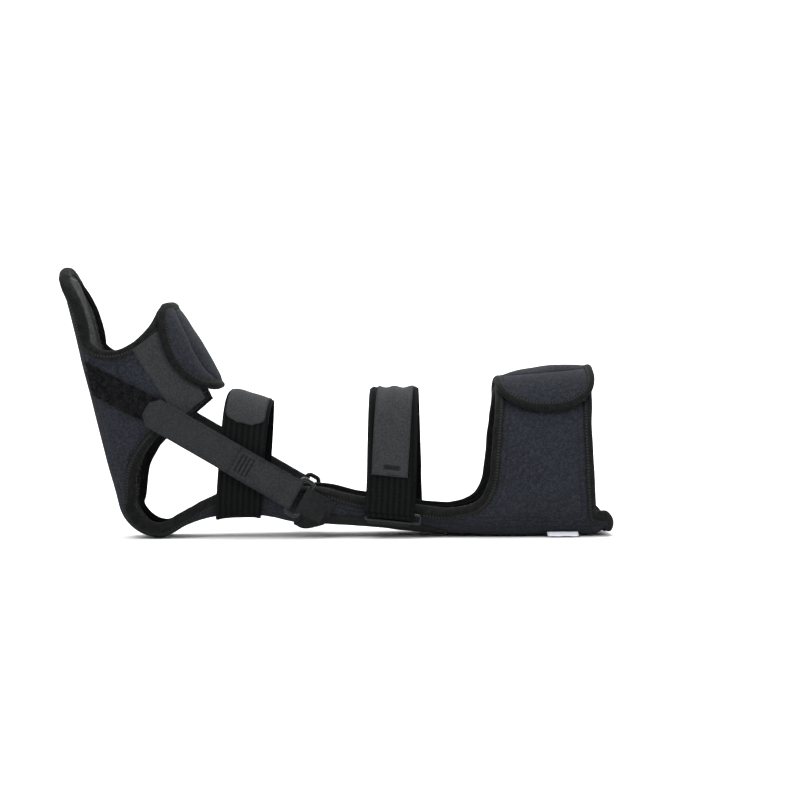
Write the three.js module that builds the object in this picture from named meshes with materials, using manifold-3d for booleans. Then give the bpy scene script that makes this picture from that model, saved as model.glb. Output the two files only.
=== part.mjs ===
// Night splint for the sole of the foot: a stiff padded L-shaped gutter with side walls, padded flaps and straps.
// Millimetres, +X from the heel to the calf, +Z up, the splint lying on its back. Near side is -Y.
import * as THREE from "three";
import Module from "manifold-3d";
import { mergeVertices } from "three/addons/utils/BufferGeometryUtils.js";

const wasm = await Module();
wasm.setup();

// Driving sizes
const SOLE_LENGTH = 224;
const SOLE_LEAN = 14.4;
const LEG_LENGTH = 391;
const HEEL_RADIUS = 36;
const ANKLE_LIFT = 18.5;
const FOOT_WIDTH = 92;
const INSTEP_HEIGHT = 100;
const CALF_WIDTH = 112;
const CALF_HEIGHT = 133;
const GUTTER_WALL = 7;
const WING_WALL = 5;
const TAPE_WIDTH = 7;
const TAPE_PROUD = 0.8;
const TOE_ROUND = 34;
const CALF_ROUND = 14;
const FLAP_PAD = 8;
const FLAP_EDGE = 3.2;
const FLAP_LOBES = 3;
const PATCH_WALL = 1;
const PILE_WALL = 2;
const ELASTIC_WALL = 1.8;
const TAB_WALL = 1.2;
const ANKLE_STRAP_WIDTH = 37;
const SHIN_STRAP_WIDTH = 39;
const TENSION_WIDTH = 25;
const TENSION_WALL = 2;
const TENSION_LENGTH = 138;
const TENSION_SLOPE = 30.5;
const RING_BAR = 3;
const RING_REACH = 14;
const SHIN_RING_REACH = 9;
const SHIN_RING_BAR = 2.4;
const LABEL_LENGTH = 25;
const LABEL_WALL = 0.6;
const GAP = 0.3;

// Side profile: rows of the sole from the toe down, as shares of the sole's length, the gutter's wall,
// the foot's half width and the instep's height
const soleRows = [
  { up: 1.0, dent: 0.3, wide: 0.93, tall: 0.64, flat: 0.62 },
  { up: 0.92, dent: 0.42, wide: 0.97, tall: 0.7, flat: 0.62 },
  { up: 0.79, dent: 0.45, wide: 1.0, tall: 0.77, flat: 0.6 },
  { up: 0.72, dent: 0.4, wide: 1.0, tall: 0.82, flat: 0.6 },
  { up: 0.63, dent: 0.3, wide: 0.97, tall: 0.89, flat: 0.58 },
  { up: 0.56, dent: 0.2, wide: 0.94, tall: 0.94, flat: 0.57 },
  { up: 0.48, dent: 0.12, wide: 0.9, tall: 0.99, flat: 0.56 },
  { up: 0.42, dent: 0.06, wide: 0.87, tall: 1.02, flat: 0.55 },
  { up: 0.27, dent: 0, wide: 0.79, tall: 0.98, flat: 0.53 },
];

// Rows of the leg from the heel on, as shares of the leg's length, the ankle's lift, the calf's half width
// and the calf's height
const legRows = [
  { along: 0.0864, lift: 0.12, wide: 0.6, tall: 0.7, flat: 0.5 },
  { along: 0.109, lift: 0.41, wide: 0.6, tall: 0.71, flat: 0.5 },
  { along: 0.136, lift: 0.67, wide: 0.605, tall: 0.72, flat: 0.48 },
  { along: 0.162, lift: 0.84, wide: 0.615, tall: 0.73, flat: 0.45 },
  { along: 0.189, lift: 0.935, wide: 0.625, tall: 0.745, flat: 0.42 },
  { along: 0.225, lift: 1.0, wide: 0.64, tall: 0.752, flat: 0.38 },
  { along: 0.269, lift: 0.98, wide: 0.655, tall: 0.718, flat: 0.34 },
  { along: 0.307, lift: 0.86, wide: 0.67, tall: 0.7, flat: 0.32 },
  { along: 0.337, lift: 0.69, wide: 0.69, tall: 0.715, flat: 0.3 },
  { along: 0.36, lift: 0.61, wide: 0.705, tall: 0.73, flat: 0.3 },
  { along: 0.41, lift: 0.6, wide: 0.73, tall: 0.765, flat: 0.3 },
  { along: 0.512, lift: 0.47, wide: 0.78, tall: 0.832, flat: 0.3 },
  { along: 0.58, lift: 0.3, wide: 0.82, tall: 0.85, flat: 0.3 },
  { along: 0.65, lift: 0.18, wide: 0.88, tall: 0.875, flat: 0.3 },
  { along: 0.718, lift: 0.1, wide: 0.94, tall: 0.91, flat: 0.3 },
  { along: 0.772, lift: 0, wide: 0.97, tall: 0.935, flat: 0.3 },
  { along: 0.85, lift: 0, wide: 1.0, tall: 0.975, flat: 0.3 },
  { along: 0.955, lift: 0, wide: 1.0, tall: 1.0, flat: 0.3 },
  { along: 0.985, lift: 0.08, wide: 1.0, tall: 1.0, flat: 0.3 },
  { along: 1.0, lift: 0.2, wide: 0.99, tall: 1.0, flat: 0.3 },
];

// Height of the gutter panel's own edge: foot rows are shares of the sole's length, leg rows of the leg's
const gutterEdgeRows = [
  { along: -1.0, high: 0.04 },
  { along: -0.1, high: 0.04 },
  { along: 0.05, high: 0.03 },
  { along: 0.13, high: 0.03 },
  { along: 0.165, high: 0.06 },
  { along: 0.2, high: 0.1 },
  { along: 0.25, high: 0.16 },
  { along: 0.31, high: 0.22 },
  { along: 0.4, high: 0.24 },
  { along: 0.47, high: 0.17 },
  { along: 0.61, high: 0.135 },
  { along: 0.668, high: 0.12 },
  { along: 1.0, high: 0.12 },
];
const EDGE_HEIGHT = 100;

// Finished edges of the foot wall: shares of the sole's length and of the instep's height
const footWingRows = [
  { rear: 0.08, rearHigh: 0.044, front: 0.765, frontHigh: 0.044 },
  { rear: 0.1, rearHigh: 0.1, front: 0.735, frontHigh: 0.09 },
  { rear: 0.13, rearHigh: 0.15, front: 0.705, frontHigh: 0.135 },
  { rear: 0.175, rearHigh: 0.18, front: 0.687, frontHigh: 0.19 },
  { rear: 0.22, rearHigh: 0.215, front: 0.677, frontHigh: 0.25 },
  { rear: 0.26, rearHigh: 0.275, front: 0.672, frontHigh: 0.32 },
  { rear: 0.295, rearHigh: 0.36, front: 0.675, frontHigh: 0.41 },
  { rear: 0.33, rearHigh: 0.47, front: 0.688, frontHigh: 0.5 },
  { rear: 0.362, rearHigh: 0.6, front: 0.708, frontHigh: 0.58 },
  { rear: 0.392, rearHigh: 0.74, front: 0.733, frontHigh: 0.65 },
  { rear: 0.414, rearHigh: 0.85, front: 0.783, frontHigh: 0.722 },
];

// Finished edges of the calf wall: shares of the leg's length and of the calf's height
const calfWingRows = [
  { front: 0.67, end: 0.977, high: 0.0935 },
  { front: 0.673, end: 0.977, high: 0.143 },
  { front: 0.706, end: 0.977, high: 0.166 },
  { front: 0.729, end: 0.976, high: 0.2 },
  { front: 0.745, end: 0.975, high: 0.26 },
  { front: 0.755, end: 0.973, high: 0.34 },
  { front: 0.76, end: 0.972, high: 0.44 },
  { front: 0.762, end: 0.971, high: 0.55 },
  { front: 0.766, end: 0.97, high: 0.66 },
  { front: 0.77, end: 0.971, high: 0.77 },
  { front: 0.772, end: 0.973, high: 0.86 },
];

// Lower edge of the two flaps on the near side, from end to end, as shares of the flap's length and of the
// section's height
const instepFlapRows = [
  { along: 0, high: 0.93 },
  { along: 0.05, high: 0.9 },
  { along: 0.12, high: 0.845 },
  { along: 0.2, high: 0.785 },
  { along: 0.325, high: 0.75 },
  { along: 0.44, high: 0.74 },
  { along: 0.59, high: 0.765 },
  { along: 0.74, high: 0.8 },
  { along: 0.84, high: 0.835 },
  { along: 0.94, high: 0.88 },
  { along: 1.0, high: 0.92 },
];
const calfFlapRows = [
  { along: 0, high: 0.96 },
  { along: 0.05, high: 0.92 },
  { along: 0.147, high: 0.84 },
  { along: 0.294, high: 0.787 },
  { along: 0.49, high: 0.757 },
  { along: 0.687, high: 0.757 },
  { along: 0.886, high: 0.82 },
  { along: 0.985, high: 0.9 },
  { along: 1.0, high: 0.94 },
];

const radians = (degrees) => (degrees * Math.PI) / 180;
const lerp = THREE.MathUtils.lerp;
const clamp = THREE.MathUtils.clamp;

// A smooth value through table rows that never overshoots them
function smooth(rows, key, column) {
  const x = rows.map((row) => row[key]);
  const y = rows.map((row) => row[column]);
  const slope = x.slice(1).map((value, i) => (y[i + 1] - y[i]) / (value - x[i]));
  const tangent = x.map((_, i) => {
    const before = slope[Math.max(i - 1, 0)];
    const after = slope[Math.min(i, slope.length - 1)];
    if (before * after <= 0) return 0;
    return (2 * before * after) / (before + after);
  });
  return (at) => {
    const place = clamp(at, x[0], x[x.length - 1]);
    let i = 0;
    while (i < x.length - 2 && place > x[i + 1]) i += 1;
    const span = x[i + 1] - x[i];
    const t = (place - x[i]) / span;
    const rise = y[i + 1] - y[i];
    const curve = tangent[i] * span;
    const curveEnd = tangent[i + 1] * span;
    return y[i] + curve * t + (3 * rise - 2 * curve - curveEnd) * t * t + (curve + curveEnd - 2 * rise) * t * t * t;
  };
}

// Stations run along the splint: minus the distance up the sole before the heel, plus the distance along the leg
// after it, both from the corner where the sole's line meets the floor
const lean = radians(SOLE_LEAN);
const heelReach = HEEL_RADIUS * Math.tan((Math.PI / 2 - lean) / 2);
const stations = [
  ...soleRows.map((row) => ({
    at: -row.up * SOLE_LENGTH,
    off: row.dent * GUTTER_WALL,
    half: (row.wide * FOOT_WIDTH) / 2,
    tall: row.tall * INSTEP_HEIGHT,
    flat: row.flat,
  })),
  { at: -heelReach, off: 0, half: 0.37 * FOOT_WIDTH, tall: 0.94 * INSTEP_HEIGHT, flat: 0.52 },
  { at: heelReach, off: 0, half: 0.3 * CALF_WIDTH, tall: 0.7 * CALF_HEIGHT, flat: 0.5 },
  ...legRows.map((row) => ({
    at: row.along * LEG_LENGTH,
    off: row.lift * ANKLE_LIFT,
    half: (row.wide * CALF_WIDTH) / 2,
    tall: row.tall * CALF_HEIGHT,
    flat: row.flat,
  })),
];
const offAt = smooth(stations, "at", "off");
const halfAt = smooth(stations, "at", "half");
const tallAt = smooth(stations, "at", "tall");
const flatAt = smooth(stations, "at", "flat");

// The outer line of the splint in side view and the direction into the splint, at a station
function spine(station) {
  if (station <= -heelReach) {
    const inward = [Math.cos(lean), Math.sin(lean)];
    const up = -station;
    const off = offAt(station);
    return {
      x: -Math.sin(lean) * up + inward[0] * off,
      z: Math.cos(lean) * up + inward[1] * off,
      inward,
    };
  }
  if (station >= heelReach) return { x: station, z: offAt(station), inward: [0, 1] };
  const share = (station + heelReach) / (2 * heelReach);
  const angle = lerp(lean, Math.PI / 2, share);
  const inward = [Math.cos(angle), Math.sin(angle)];
  return { x: heelReach - inward[0] * HEEL_RADIUS, z: HEEL_RADIUS - inward[1] * HEEL_RADIUS, inward };
}

// One half of the form's section: a flat base, a squarish lower part and a rounder top
const BELLY_SHARE = 0.4;
const LOWER_POWER = 2.7;
const UPPER_POWER = 2.15;
function sectionPoint(station, turn, offset) {
  const half = halfAt(station);
  const tall = tallAt(station);
  const base = half * flatAt(station);
  if (turn < 0) return [base * (1 + turn), -offset];
  const lower = turn <= Math.PI / 2;
  const power = 2 / (lower ? LOWER_POWER : UPPER_POWER);
  const sine = Math.sin(turn) ** power;
  const cosine = Math.abs(Math.cos(turn)) ** power;
  const core = base * (lower ? 1 : (1 - Math.cos(2 * turn)) / 2);
  const belly = tall * BELLY_SHARE;
  const high = lower ? belly - (belly + offset) * cosine : belly + (tall - belly + offset) * cosine;
  return [core + (half - core + offset) * sine, high];
}

// Arc length round the section against the turn, at a station
const SECTION_STEPS = 64;
const arcs = new Map();
function arcTable(station) {
  const key = station.toFixed(4);
  if (arcs.has(key)) return arcs.get(key);
  const rows = [{ turn: -1, girth: 0, high: 0 }];
  let last = sectionPoint(station, -1, 0);
  for (let i = 0; i <= SECTION_STEPS; i += 1) {
    const turn = (Math.PI * i) / SECTION_STEPS;
    const point = sectionPoint(station, Math.min(turn, Math.PI - 1e-6), 0);
    const girth = rows[rows.length - 1].girth + Math.hypot(point[0] - last[0], point[1] - last[1]);
    rows.push({ turn, girth, high: point[1] });
    last = point;
  }
  arcs.set(key, rows);
  return rows;
}

function lookUp(rows, key, value, column) {
  let i = 0;
  while (i < rows.length - 2 && value > rows[i + 1][key]) i += 1;
  const span = Math.max(rows[i + 1][key] - rows[i][key], 1e-9);
  return lerp(rows[i][column], rows[i + 1][column], clamp((value - rows[i][key]) / span, 0, 1));
}

const halfGirth = (station) => arcTable(station)[SECTION_STEPS + 1].girth;
const girthAt = (station, high) => lookUp(arcTable(station).slice(1), "high", high, "girth");

// A point of the form: girth is measured round the section from the middle of the base, minus on the near side,
// and offset is measured outwards from the outer face of the gutter
function wrap(station, girth, offset) {
  const limit = halfGirth(station);
  let round = girth;
  if (round > limit) round -= 2 * limit;
  if (round < -limit) round += 2 * limit;
  const turn = lookUp(arcTable(station), "girth", Math.abs(round), "turn");
  const [y, high] = sectionPoint(station, turn, offset);
  const { x, z, inward } = spine(station);
  return new THREE.Vector3(x + inward[0] * high, Math.sign(round || 1) * y, z + inward[1] * high);
}

// A closed mesh from points and triangles, turned so that its faces point outwards
function closedMesh(points, triangles) {
  const geometry = new THREE.BufferGeometry();
  const flat = points.flatMap((point) => [point.x, point.y, point.z]);
  geometry.setAttribute("position", new THREE.Float32BufferAttribute(flat, 3));
  let volume = 0;
  for (const [a, b, c] of triangles) {
    volume += points[a].dot(new THREE.Vector3().crossVectors(points[b], points[c]));
  }
  geometry.setIndex(triangles.flatMap(([a, b, c]) => (volume < 0 ? [a, c, b] : [a, b, c])));
  geometry.computeVertexNormals();
  return geometry;
}

// A panel with two faces: place(column, row, layer) gives its points, and a loop closes its columns into a ring
function panelSolid(columns, rows, place, loop = false) {
  const points = [];
  const across = loop ? columns : columns + 1;
  const index = (layer, i, j) => (layer * across + (i % across)) * (rows + 1) + j;
  for (let layer = 0; layer < 2; layer += 1) {
    for (let i = 0; i < across; i += 1) {
      for (let j = 0; j <= rows; j += 1) points.push(place(i, j, layer));
    }
  }
  const triangles = [];
  const quad = (a, b, c, d) => triangles.push([a, b, c], [a, c, d]);
  for (let i = 0; i < columns; i += 1) {
    for (let j = 0; j < rows; j += 1) {
      quad(index(1, i, j), index(1, i + 1, j), index(1, i + 1, j + 1), index(1, i, j + 1));
      quad(index(0, i, j), index(0, i, j + 1), index(0, i + 1, j + 1), index(0, i + 1, j));
    }
    quad(index(0, i, 0), index(0, i + 1, 0), index(1, i + 1, 0), index(1, i, 0));
    quad(index(0, i, rows), index(1, i, rows), index(1, i + 1, rows), index(0, i + 1, rows));
  }
  for (let j = 0; j < rows && !loop; j += 1) {
    quad(index(0, 0, j), index(1, 0, j), index(1, 0, j + 1), index(0, 0, j + 1));
    quad(index(0, columns, j), index(0, columns, j + 1), index(1, columns, j + 1), index(1, columns, j));
  }
  return closedMesh(points, triangles);
}

// A bar swept along a path: place(step, corner) gives the corners of each section, and flip(step) says which way
// its quads are split, so that they match the panel beside it
function barSolid(steps, corners, place, loop = false, flip = () => false) {
  const points = [];
  const count = loop ? steps : steps + 1;
  for (let i = 0; i < count; i += 1) {
    for (let k = 0; k < corners; k += 1) points.push(place(i, k));
  }
  const index = (i, k) => (i % count) * corners + (k % corners);
  const triangles = [];
  for (let i = 0; i < steps; i += 1) {
    for (let k = 0; k < corners; k += 1) {
      if (flip(i)) {
        triangles.push([index(i, k), index(i + 1, k), index(i, k + 1)]);
        triangles.push([index(i + 1, k), index(i + 1, k + 1), index(i, k + 1)]);
      } else {
        triangles.push([index(i, k), index(i + 1, k), index(i + 1, k + 1)]);
        triangles.push([index(i, k), index(i + 1, k + 1), index(i, k + 1)]);
      }
    }
  }
  for (let k = 1; k < corners - 1 && !loop; k += 1) {
    triangles.push([0, k, k + 1]);
    triangles.push([index(steps, 0), index(steps, k + 1), index(steps, k)]);
  }
  return closedMesh(points, triangles);
}

// Directions square to a path on the pattern, pointing away from its middle; a level start keeps to the stations
function outwards(path, middle, { loop = false, level = false } = {}) {
  const last = path.length - 1;
  return path.map(([station, girth], i) => {
    const before = path[loop ? (i + last) % (last + 1) : Math.max(i - 1, 0)];
    const after = path[loop ? (i + 1) % (last + 1) : Math.min(i + 1, last)];
    let away = new THREE.Vector2(after[1] - before[1], before[0] - after[0]).normalize();
    if (level && i === 0) away = new THREE.Vector2(1, 0);
    const side = away.dot(new THREE.Vector2(station - middle[0], girth - middle[1]));
    return side < 0 ? away.negate() : away;
  });
}

const move = (path, ways, distance) =>
  path.map(([station, girth], i) => [station + ways[i].x * distance, girth + ways[i].y * distance]);

// The sewn edge tape outside a panel's edge: six corners, thicker than the panel and rounded at its rim.
// Where a seam is given, the first section stands on it
function tape(path, ways, inside, outside, { loop = false, flip = () => true, seam = null } = {}) {
  const middle = (inside + outside) / 2;
  const half = (outside - inside) / 2 + TAPE_PROUD;
  const corners = [
    [GAP, -half],
    [TAPE_WIDTH * 0.75, -half],
    [TAPE_WIDTH, -half * 0.45],
    [TAPE_WIDTH, half * 0.45],
    [TAPE_WIDTH * 0.75, half],
    [GAP, half],
  ];
  const steps = loop ? path.length : path.length - 1;
  return barSolid(
    steps,
    corners.length,
    (i, k) => {
      const [station, girth] = path[i];
      const [reach, offset] = corners[k];
      const at = station + ways[i].x * reach;
      return wrap(at, seam && i === 0 ? seam(at) : girth + ways[i].y * reach, middle + offset);
    },
    loop,
    flip,
  );
}

// manifold-3d only joins and cuts closed meshes
function toManifold(geometry) {
  const bare = geometry.clone();
  bare.deleteAttribute("normal");
  if (bare.hasAttribute("uv")) bare.deleteAttribute("uv");
  const merged = mergeVertices(bare, 1e-4);
  return new wasm.Manifold(
    new wasm.Mesh({
      numProp: 3,
      vertProperties: new Float32Array(merged.attributes.position.array),
      triVerts: new Uint32Array(merged.index.array),
    }),
  );
}

function fromManifold(solid) {
  const mesh = solid.getMesh();
  const geometry = new THREE.BufferGeometry();
  geometry.setAttribute("position", new THREE.Float32BufferAttribute(mesh.vertProperties, 3));
  geometry.setIndex([...mesh.triVerts]);
  geometry.computeVertexNormals();
  return geometry;
}

const joined = (first, ...others) =>
  fromManifold(others.reduce((sum, other) => sum.add(toManifold(other)), toManifold(first)));

const paint = (color, roughness, metalness = 0) => new THREE.MeshStandardMaterial({ color, roughness, metalness });
const materials = {
  shell: paint(0x26282e, 0.9),
  tape: paint(0x17181a, 0.8),
  grey: paint(0x3a3c3e, 0.85),
  elastic: paint(0x141516, 0.85),
  plastic: paint(0x101112, 0.4),
  label: paint(0xe8ebf2, 0.6),
};

const splint = new THREE.Group();
function add(name, geometry, material) {
  const mesh = new THREE.Mesh(geometry, material);
  mesh.name = name;
  splint.add(mesh);
  return mesh;
}

// Gutter: one padded shell from the toe end round the heel to the calf end
const edgeHigh = smooth(
  gutterEdgeRows.map((row) => ({
    at: row.along * (row.along < 0 ? SOLE_LENGTH : LEG_LENGTH),
    high: row.high * EDGE_HEIGHT,
  })),
  "at",
  "high",
);
function roundShare(distance, radius) {
  const inside = clamp(1 - distance / radius, 0, 1);
  return Math.max(Math.sqrt(1 - inside * inside), 0.3);
}
function gutterEdge(station) {
  const toe = roundShare(station + SOLE_LENGTH, TOE_ROUND);
  const calf = roundShare(LEG_LENGTH - station, CALF_ROUND);
  return girthAt(station, edgeHigh(station)) * (station < 0 ? toe : lerp(0.62, 1, (calf - 0.3) / 0.7));
}

const footFront = -footWingRows[0].front * SOLE_LENGTH;
const footRear = -footWingRows[0].rear * SOLE_LENGTH;
const calfFront = calfWingRows[0].front * LEG_LENGTH;
const calfEnd = calfWingRows[0].end * LEG_LENGTH;
function spread(from, to, count) {
  return Array.from({ length: count }, (_, i) => lerp(from, to, i / count));
}
const toeColumns = [1, 0.993, 0.975, 0.95, 0.92, 0.885, 0.84].map((share) => -share * SOLE_LENGTH);
const soleColumns = spread(footFront - GAP, footRear + GAP, 12);
const heelColumns = spread(footRear + GAP, heelReach, 9);
const shinTapeEnd = 0.668 * LEG_LENGTH;
const legColumns = spread(heelReach, shinTapeEnd, 18);
const calfColumns = [shinTapeEnd, ...spread(calfFront, calfEnd + GAP, 8)];
const endColumns = [0, 0.4, 0.7, 0.9, 1].map((share) => lerp(calfEnd + GAP, LEG_LENGTH, share));
const gutterColumns = [...toeColumns, ...soleColumns, ...heelColumns, ...legColumns, ...calfColumns, ...endColumns];
const GUTTER_ROWS = 10;
add(
  "padded_gutter",
  panelSolid(gutterColumns.length - 1, GUTTER_ROWS, (i, j, layer) => {
    const station = gutterColumns[i];
    const edge = gutterEdge(station);
    return wrap(station, lerp(-edge, edge, j / GUTTER_ROWS), layer ? 0 : -GUTTER_WALL);
  }),
  materials.shell,
);

// Tapes of the gutter: round the toe end, along the heel and shin on each side, round the calf end
function gutterPath(columns, side) {
  return columns.map((station) => [station, side * gutterEdge(station)]);
}
function acrossEnd(station, steps) {
  const edge = gutterEdge(station);
  return Array.from({ length: steps - 1 }, (_, i) => [station, lerp(-edge, edge, (i + 1) / steps)]);
}
function endTape(columns, tip, middle, flip) {
  const path = [...gutterPath(columns, -1), ...acrossEnd(tip, GUTTER_ROWS), ...gutterPath([...columns].reverse(), 1)];
  return tape(path, outwards(path, middle), -GUTTER_WALL, 0, { flip });
}
const toeTapeColumns = [footFront - 2 * GAP, ...[...toeColumns].reverse()];
add(
  "toe_binding",
  endTape(toeTapeColumns, -SOLE_LENGTH, [footFront, 0], (i) => i >= toeTapeColumns.length - 1),
  materials.tape,
);
const calfTapeColumns = endColumns.map((station, i) => (i ? station : station + GAP));
add(
  "calf_end_binding",
  endTape(calfTapeColumns, LEG_LENGTH, [calfEnd - TAPE_WIDTH, 0], (i) => i < calfTapeColumns.length - 1 + GUTTER_ROWS),
  materials.tape,
);

const sides = [
  { side: -1, label: "near" },
  { side: 1, label: "far" },
];
for (const { side, label } of sides) {
  const columns = [...heelColumns, ...legColumns, shinTapeEnd];
  const path = gutterPath(columns, side);
  add(`gutter_binding_${label}`, tape(path, outwards(path, [heelReach, 0]), -GUTTER_WALL, 0), materials.tape);
}

// Walls of the foot and of the calf: a panel between two finished edges, each with its tape
const MIDDLE_ROW = 4;
function wing(name, label, first, last, rise) {
  const middle = [0, 1].map((k) => (first[MIDDLE_ROW][k] + last[MIDDLE_ROW][k]) / 2);
  const level = { level: true };
  const firstWays = outwards(first, middle, level);
  const lastWays = outwards(last, middle, level);
  const firstInner = move(first, firstWays, -TAPE_WIDTH);
  const lastInner = move(last, lastWays, -TAPE_WIDTH);
  const columns = 9;
  const rows = first.length - 1;
  add(
    `${name}_${label}`,
    panelSolid(columns, rows, (i, j, layer) => {
      const share = i / columns;
      const station = lerp(firstInner[j][0], lastInner[j][0], share);
      const seam = rise(station);
      const girth = j ? lerp(firstInner[j][1], lastInner[j][1], share) : seam;
      return wrap(station, girth, layer ? 0 : -WING_WALL);
    }),
    materials.shell,
  );
  const edge = (path, ways) => tape(path, ways, -WING_WALL, 0, { seam: rise });
  return [edge(firstInner, firstWays), edge(lastInner, lastWays)];
}

for (const { side, label } of sides) {
  const seam = (station) => side * (gutterEdge(station) + GAP);
  const footPoint = (share, high, row) => {
    const station = -share * SOLE_LENGTH;
    return [station, row ? side * girthAt(station, high * INSTEP_HEIGHT) : seam(station)];
  };
  const front = footWingRows.map((row, i) => footPoint(row.front, row.frontHigh, i));
  const rear = footWingRows.map((row, i) => footPoint(row.rear, row.rearHigh, i));
  const footTapes = wing("foot_wing", label, front, rear, seam);
  add(`foot_opening_binding_${label}`, footTapes[0], materials.tape);
  add(`heel_opening_binding_${label}`, footTapes[1], materials.tape);

  const calfPoint = (share, high, row) => {
    const station = share * LEG_LENGTH;
    return [station, row ? side * girthAt(station, high * CALF_HEIGHT) : seam(station)];
  };
  const shinEdge = calfWingRows.map((row, i) => calfPoint(row.front, row.high, i));
  const kneeEdge = calfWingRows.map((row, i) => calfPoint(row.end, row.high, i));
  const calfTapes = wing("calf_wing", label, shinEdge, kneeEdge, seam);
  add(`calf_front_binding_${label}`, calfTapes[0], materials.tape);
  add(`calf_back_binding_${label}`, calfTapes[1], materials.tape);
}

// Padded flaps over the instep and over the calf's crown: sewn into lobes, with a tape all round
const flapLift = PATCH_WALL + 3 * GAP;
function flap(name, from, to, rows, farHigh) {
  const columns = 8;
  const across = 12;
  const inner = [from + TAPE_WIDTH, to - TAPE_WIDTH];
  const edge = smooth(rows, "along", "high");
  const edgeGirth = (station, high) => girthAt(station, high * tallAt(station));
  const nearEdge = (station) => edgeGirth(station, edge((station - from) / (to - from))) + TAPE_WIDTH;
  const farEdge = (station) => 2 * halfGirth(station) - edgeGirth(station, farHigh) - TAPE_WIDTH;
  const place = (u, v) => {
    const station = lerp(inner[0], inner[1], u);
    return [station, -lerp(nearEdge(station), farEdge(station), v)];
  };
  const pad = (u, v) => {
    const lobe = Math.abs(Math.sin(Math.PI * FLAP_LOBES * v)) ** 0.6;
    const ends = Math.sin(Math.PI * u) ** 0.5;
    return lerp(FLAP_EDGE, FLAP_PAD, lobe * ends);
  };
  add(
    name,
    panelSolid(columns, across, (i, j, layer) => {
      const [station, girth] = place(i / columns, j / across);
      return wrap(station, girth, flapLift + (layer ? pad(i / columns, j / across) : 0));
    }),
    materials.shell,
  );
  const path = [];
  for (let i = 0; i < columns; i += 1) path.push(place(i / columns, 0));
  for (let j = 0; j < across; j += 1) path.push(place(1, j / across));
  for (let i = columns; i > 0; i -= 1) path.push(place(i / columns, 1));
  for (let j = across; j > 0; j -= 1) path.push(place(0, j / across));
  const ways = outwards(path, place(0.5, 0.5), { loop: true });
  const floor = flapLift + TAPE_PROUD;
  const flip = (i) => i < columns + across;
  add(`${name}_binding`, tape(path, ways, floor, floor + FLAP_EDGE, { loop: true, flip }), materials.tape);
}
const INSTEP_FLAP_REAR = 0.45;
const INSTEP_FLAP_FRONT = 0.81;
const CALF_FLAP_FRONT = 0.774;
const CALF_FLAP_BACK = 0.981;
flap("instep_flap", -INSTEP_FLAP_REAR * SOLE_LENGTH, -INSTEP_FLAP_FRONT * SOLE_LENGTH, instepFlapRows, 0.8);
flap("calf_flap", CALF_FLAP_FRONT * LEG_LENGTH, CALF_FLAP_BACK * LEG_LENGTH, calfFlapRows, 0.78);

// Fastener strips on the foot walls: four corners as shares of the sole's length and of the instep's height
function strip(name, corners, inside, wall, side, material) {
  const along = 6;
  const across = 3;
  const [a, b, c, d] = corners.map(([up, high]) => [-up * SOLE_LENGTH, high * INSTEP_HEIGHT]);
  const place = (i, j, layer) => {
    const u = i / along;
    const v = j / across;
    const station = lerp(lerp(a[0], b[0], u), lerp(d[0], c[0], u), v);
    const high = lerp(lerp(a[1], b[1], u), lerp(d[1], c[1], u), v);
    return wrap(station, side * girthAt(station, high), inside + (layer ? wall : 0));
  };
  add(name, panelSolid(along, across, place), material);
}
const loopStripCorners = [
  [0.66, 0.065],
  [0.455, 0.58],
  [0.4, 0.4],
  [0.535, 0.065],
];
const hookPatchCorners = [
  [0.65, 0.49],
  [0.415, 0.67],
  [0.455, 0.83],
  [0.7, 0.71],
];
const SEAT = GAP + 0.1;

// Bands round the leg: a centre that leans, from the low share to the high share of half the girth
const bandStation = (centre, leaning, share) => (centre + leaning * share) * LEG_LENGTH;
function bandPoint(centre, leaning, width, round, across, offset) {
  const share = Math.abs(round);
  const station = bandStation(centre, leaning, share) + (across - 0.5) * width;
  return wrap(station, round * halfGirth(station), offset);
}
const ANKLE_AT = 0.229;
const ANKLE_LEAN = 0.031;
const SHIN_AT = 0.56;
const SHIN_LEAN = 0.008;
const bandInside = TAPE_PROUD + GAP + 0.1;
const BAND_STEPS = 36;
add(
  "ankle_strap",
  panelSolid(
    BAND_STEPS,
    2,
    (i, j, layer) => {
      const round = -1 + (2 * i) / BAND_STEPS;
      const offset = bandInside + (layer ? ELASTIC_WALL : 0);
      return bandPoint(ANKLE_AT, ANKLE_LEAN, ANKLE_STRAP_WIDTH, round, j / 2, offset);
    },
    true,
  ),
  materials.elastic,
);

// A band open at the bottom, from one share of the half girth on the near side over the top to the far side;
// shares past 1 go on down the other side
function openBand(centre, leaning, width, from, to, inside, wall, steps) {
  return panelSolid(steps, 2, (i, j, layer) => {
    let round = lerp(from, to, i / steps);
    if (round > 1) round -= 2;
    return bandPoint(centre, leaning, width, round, j / 2, inside + (layer ? wall : 0));
  });
}
const tabInside = bandInside + ELASTIC_WALL + GAP + 0.1;
const ANKLE_TAB_WIDTH = 32;
add(
  "ankle_tab",
  openBand(ANKLE_AT, ANKLE_LEAN, ANKLE_TAB_WIDTH, -0.71, -1.03, tabInside, TAB_WALL, 8),
  materials.grey,
);
const SHIN_TAB_WIDTH = 28;
add(
  "shin_tab",
  openBand(SHIN_AT - 0.008, SHIN_LEAN + 0.012, SHIN_TAB_WIDTH, -0.47, -1.0, tabInside, TAB_WALL, 12),
  materials.grey,
);

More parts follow.
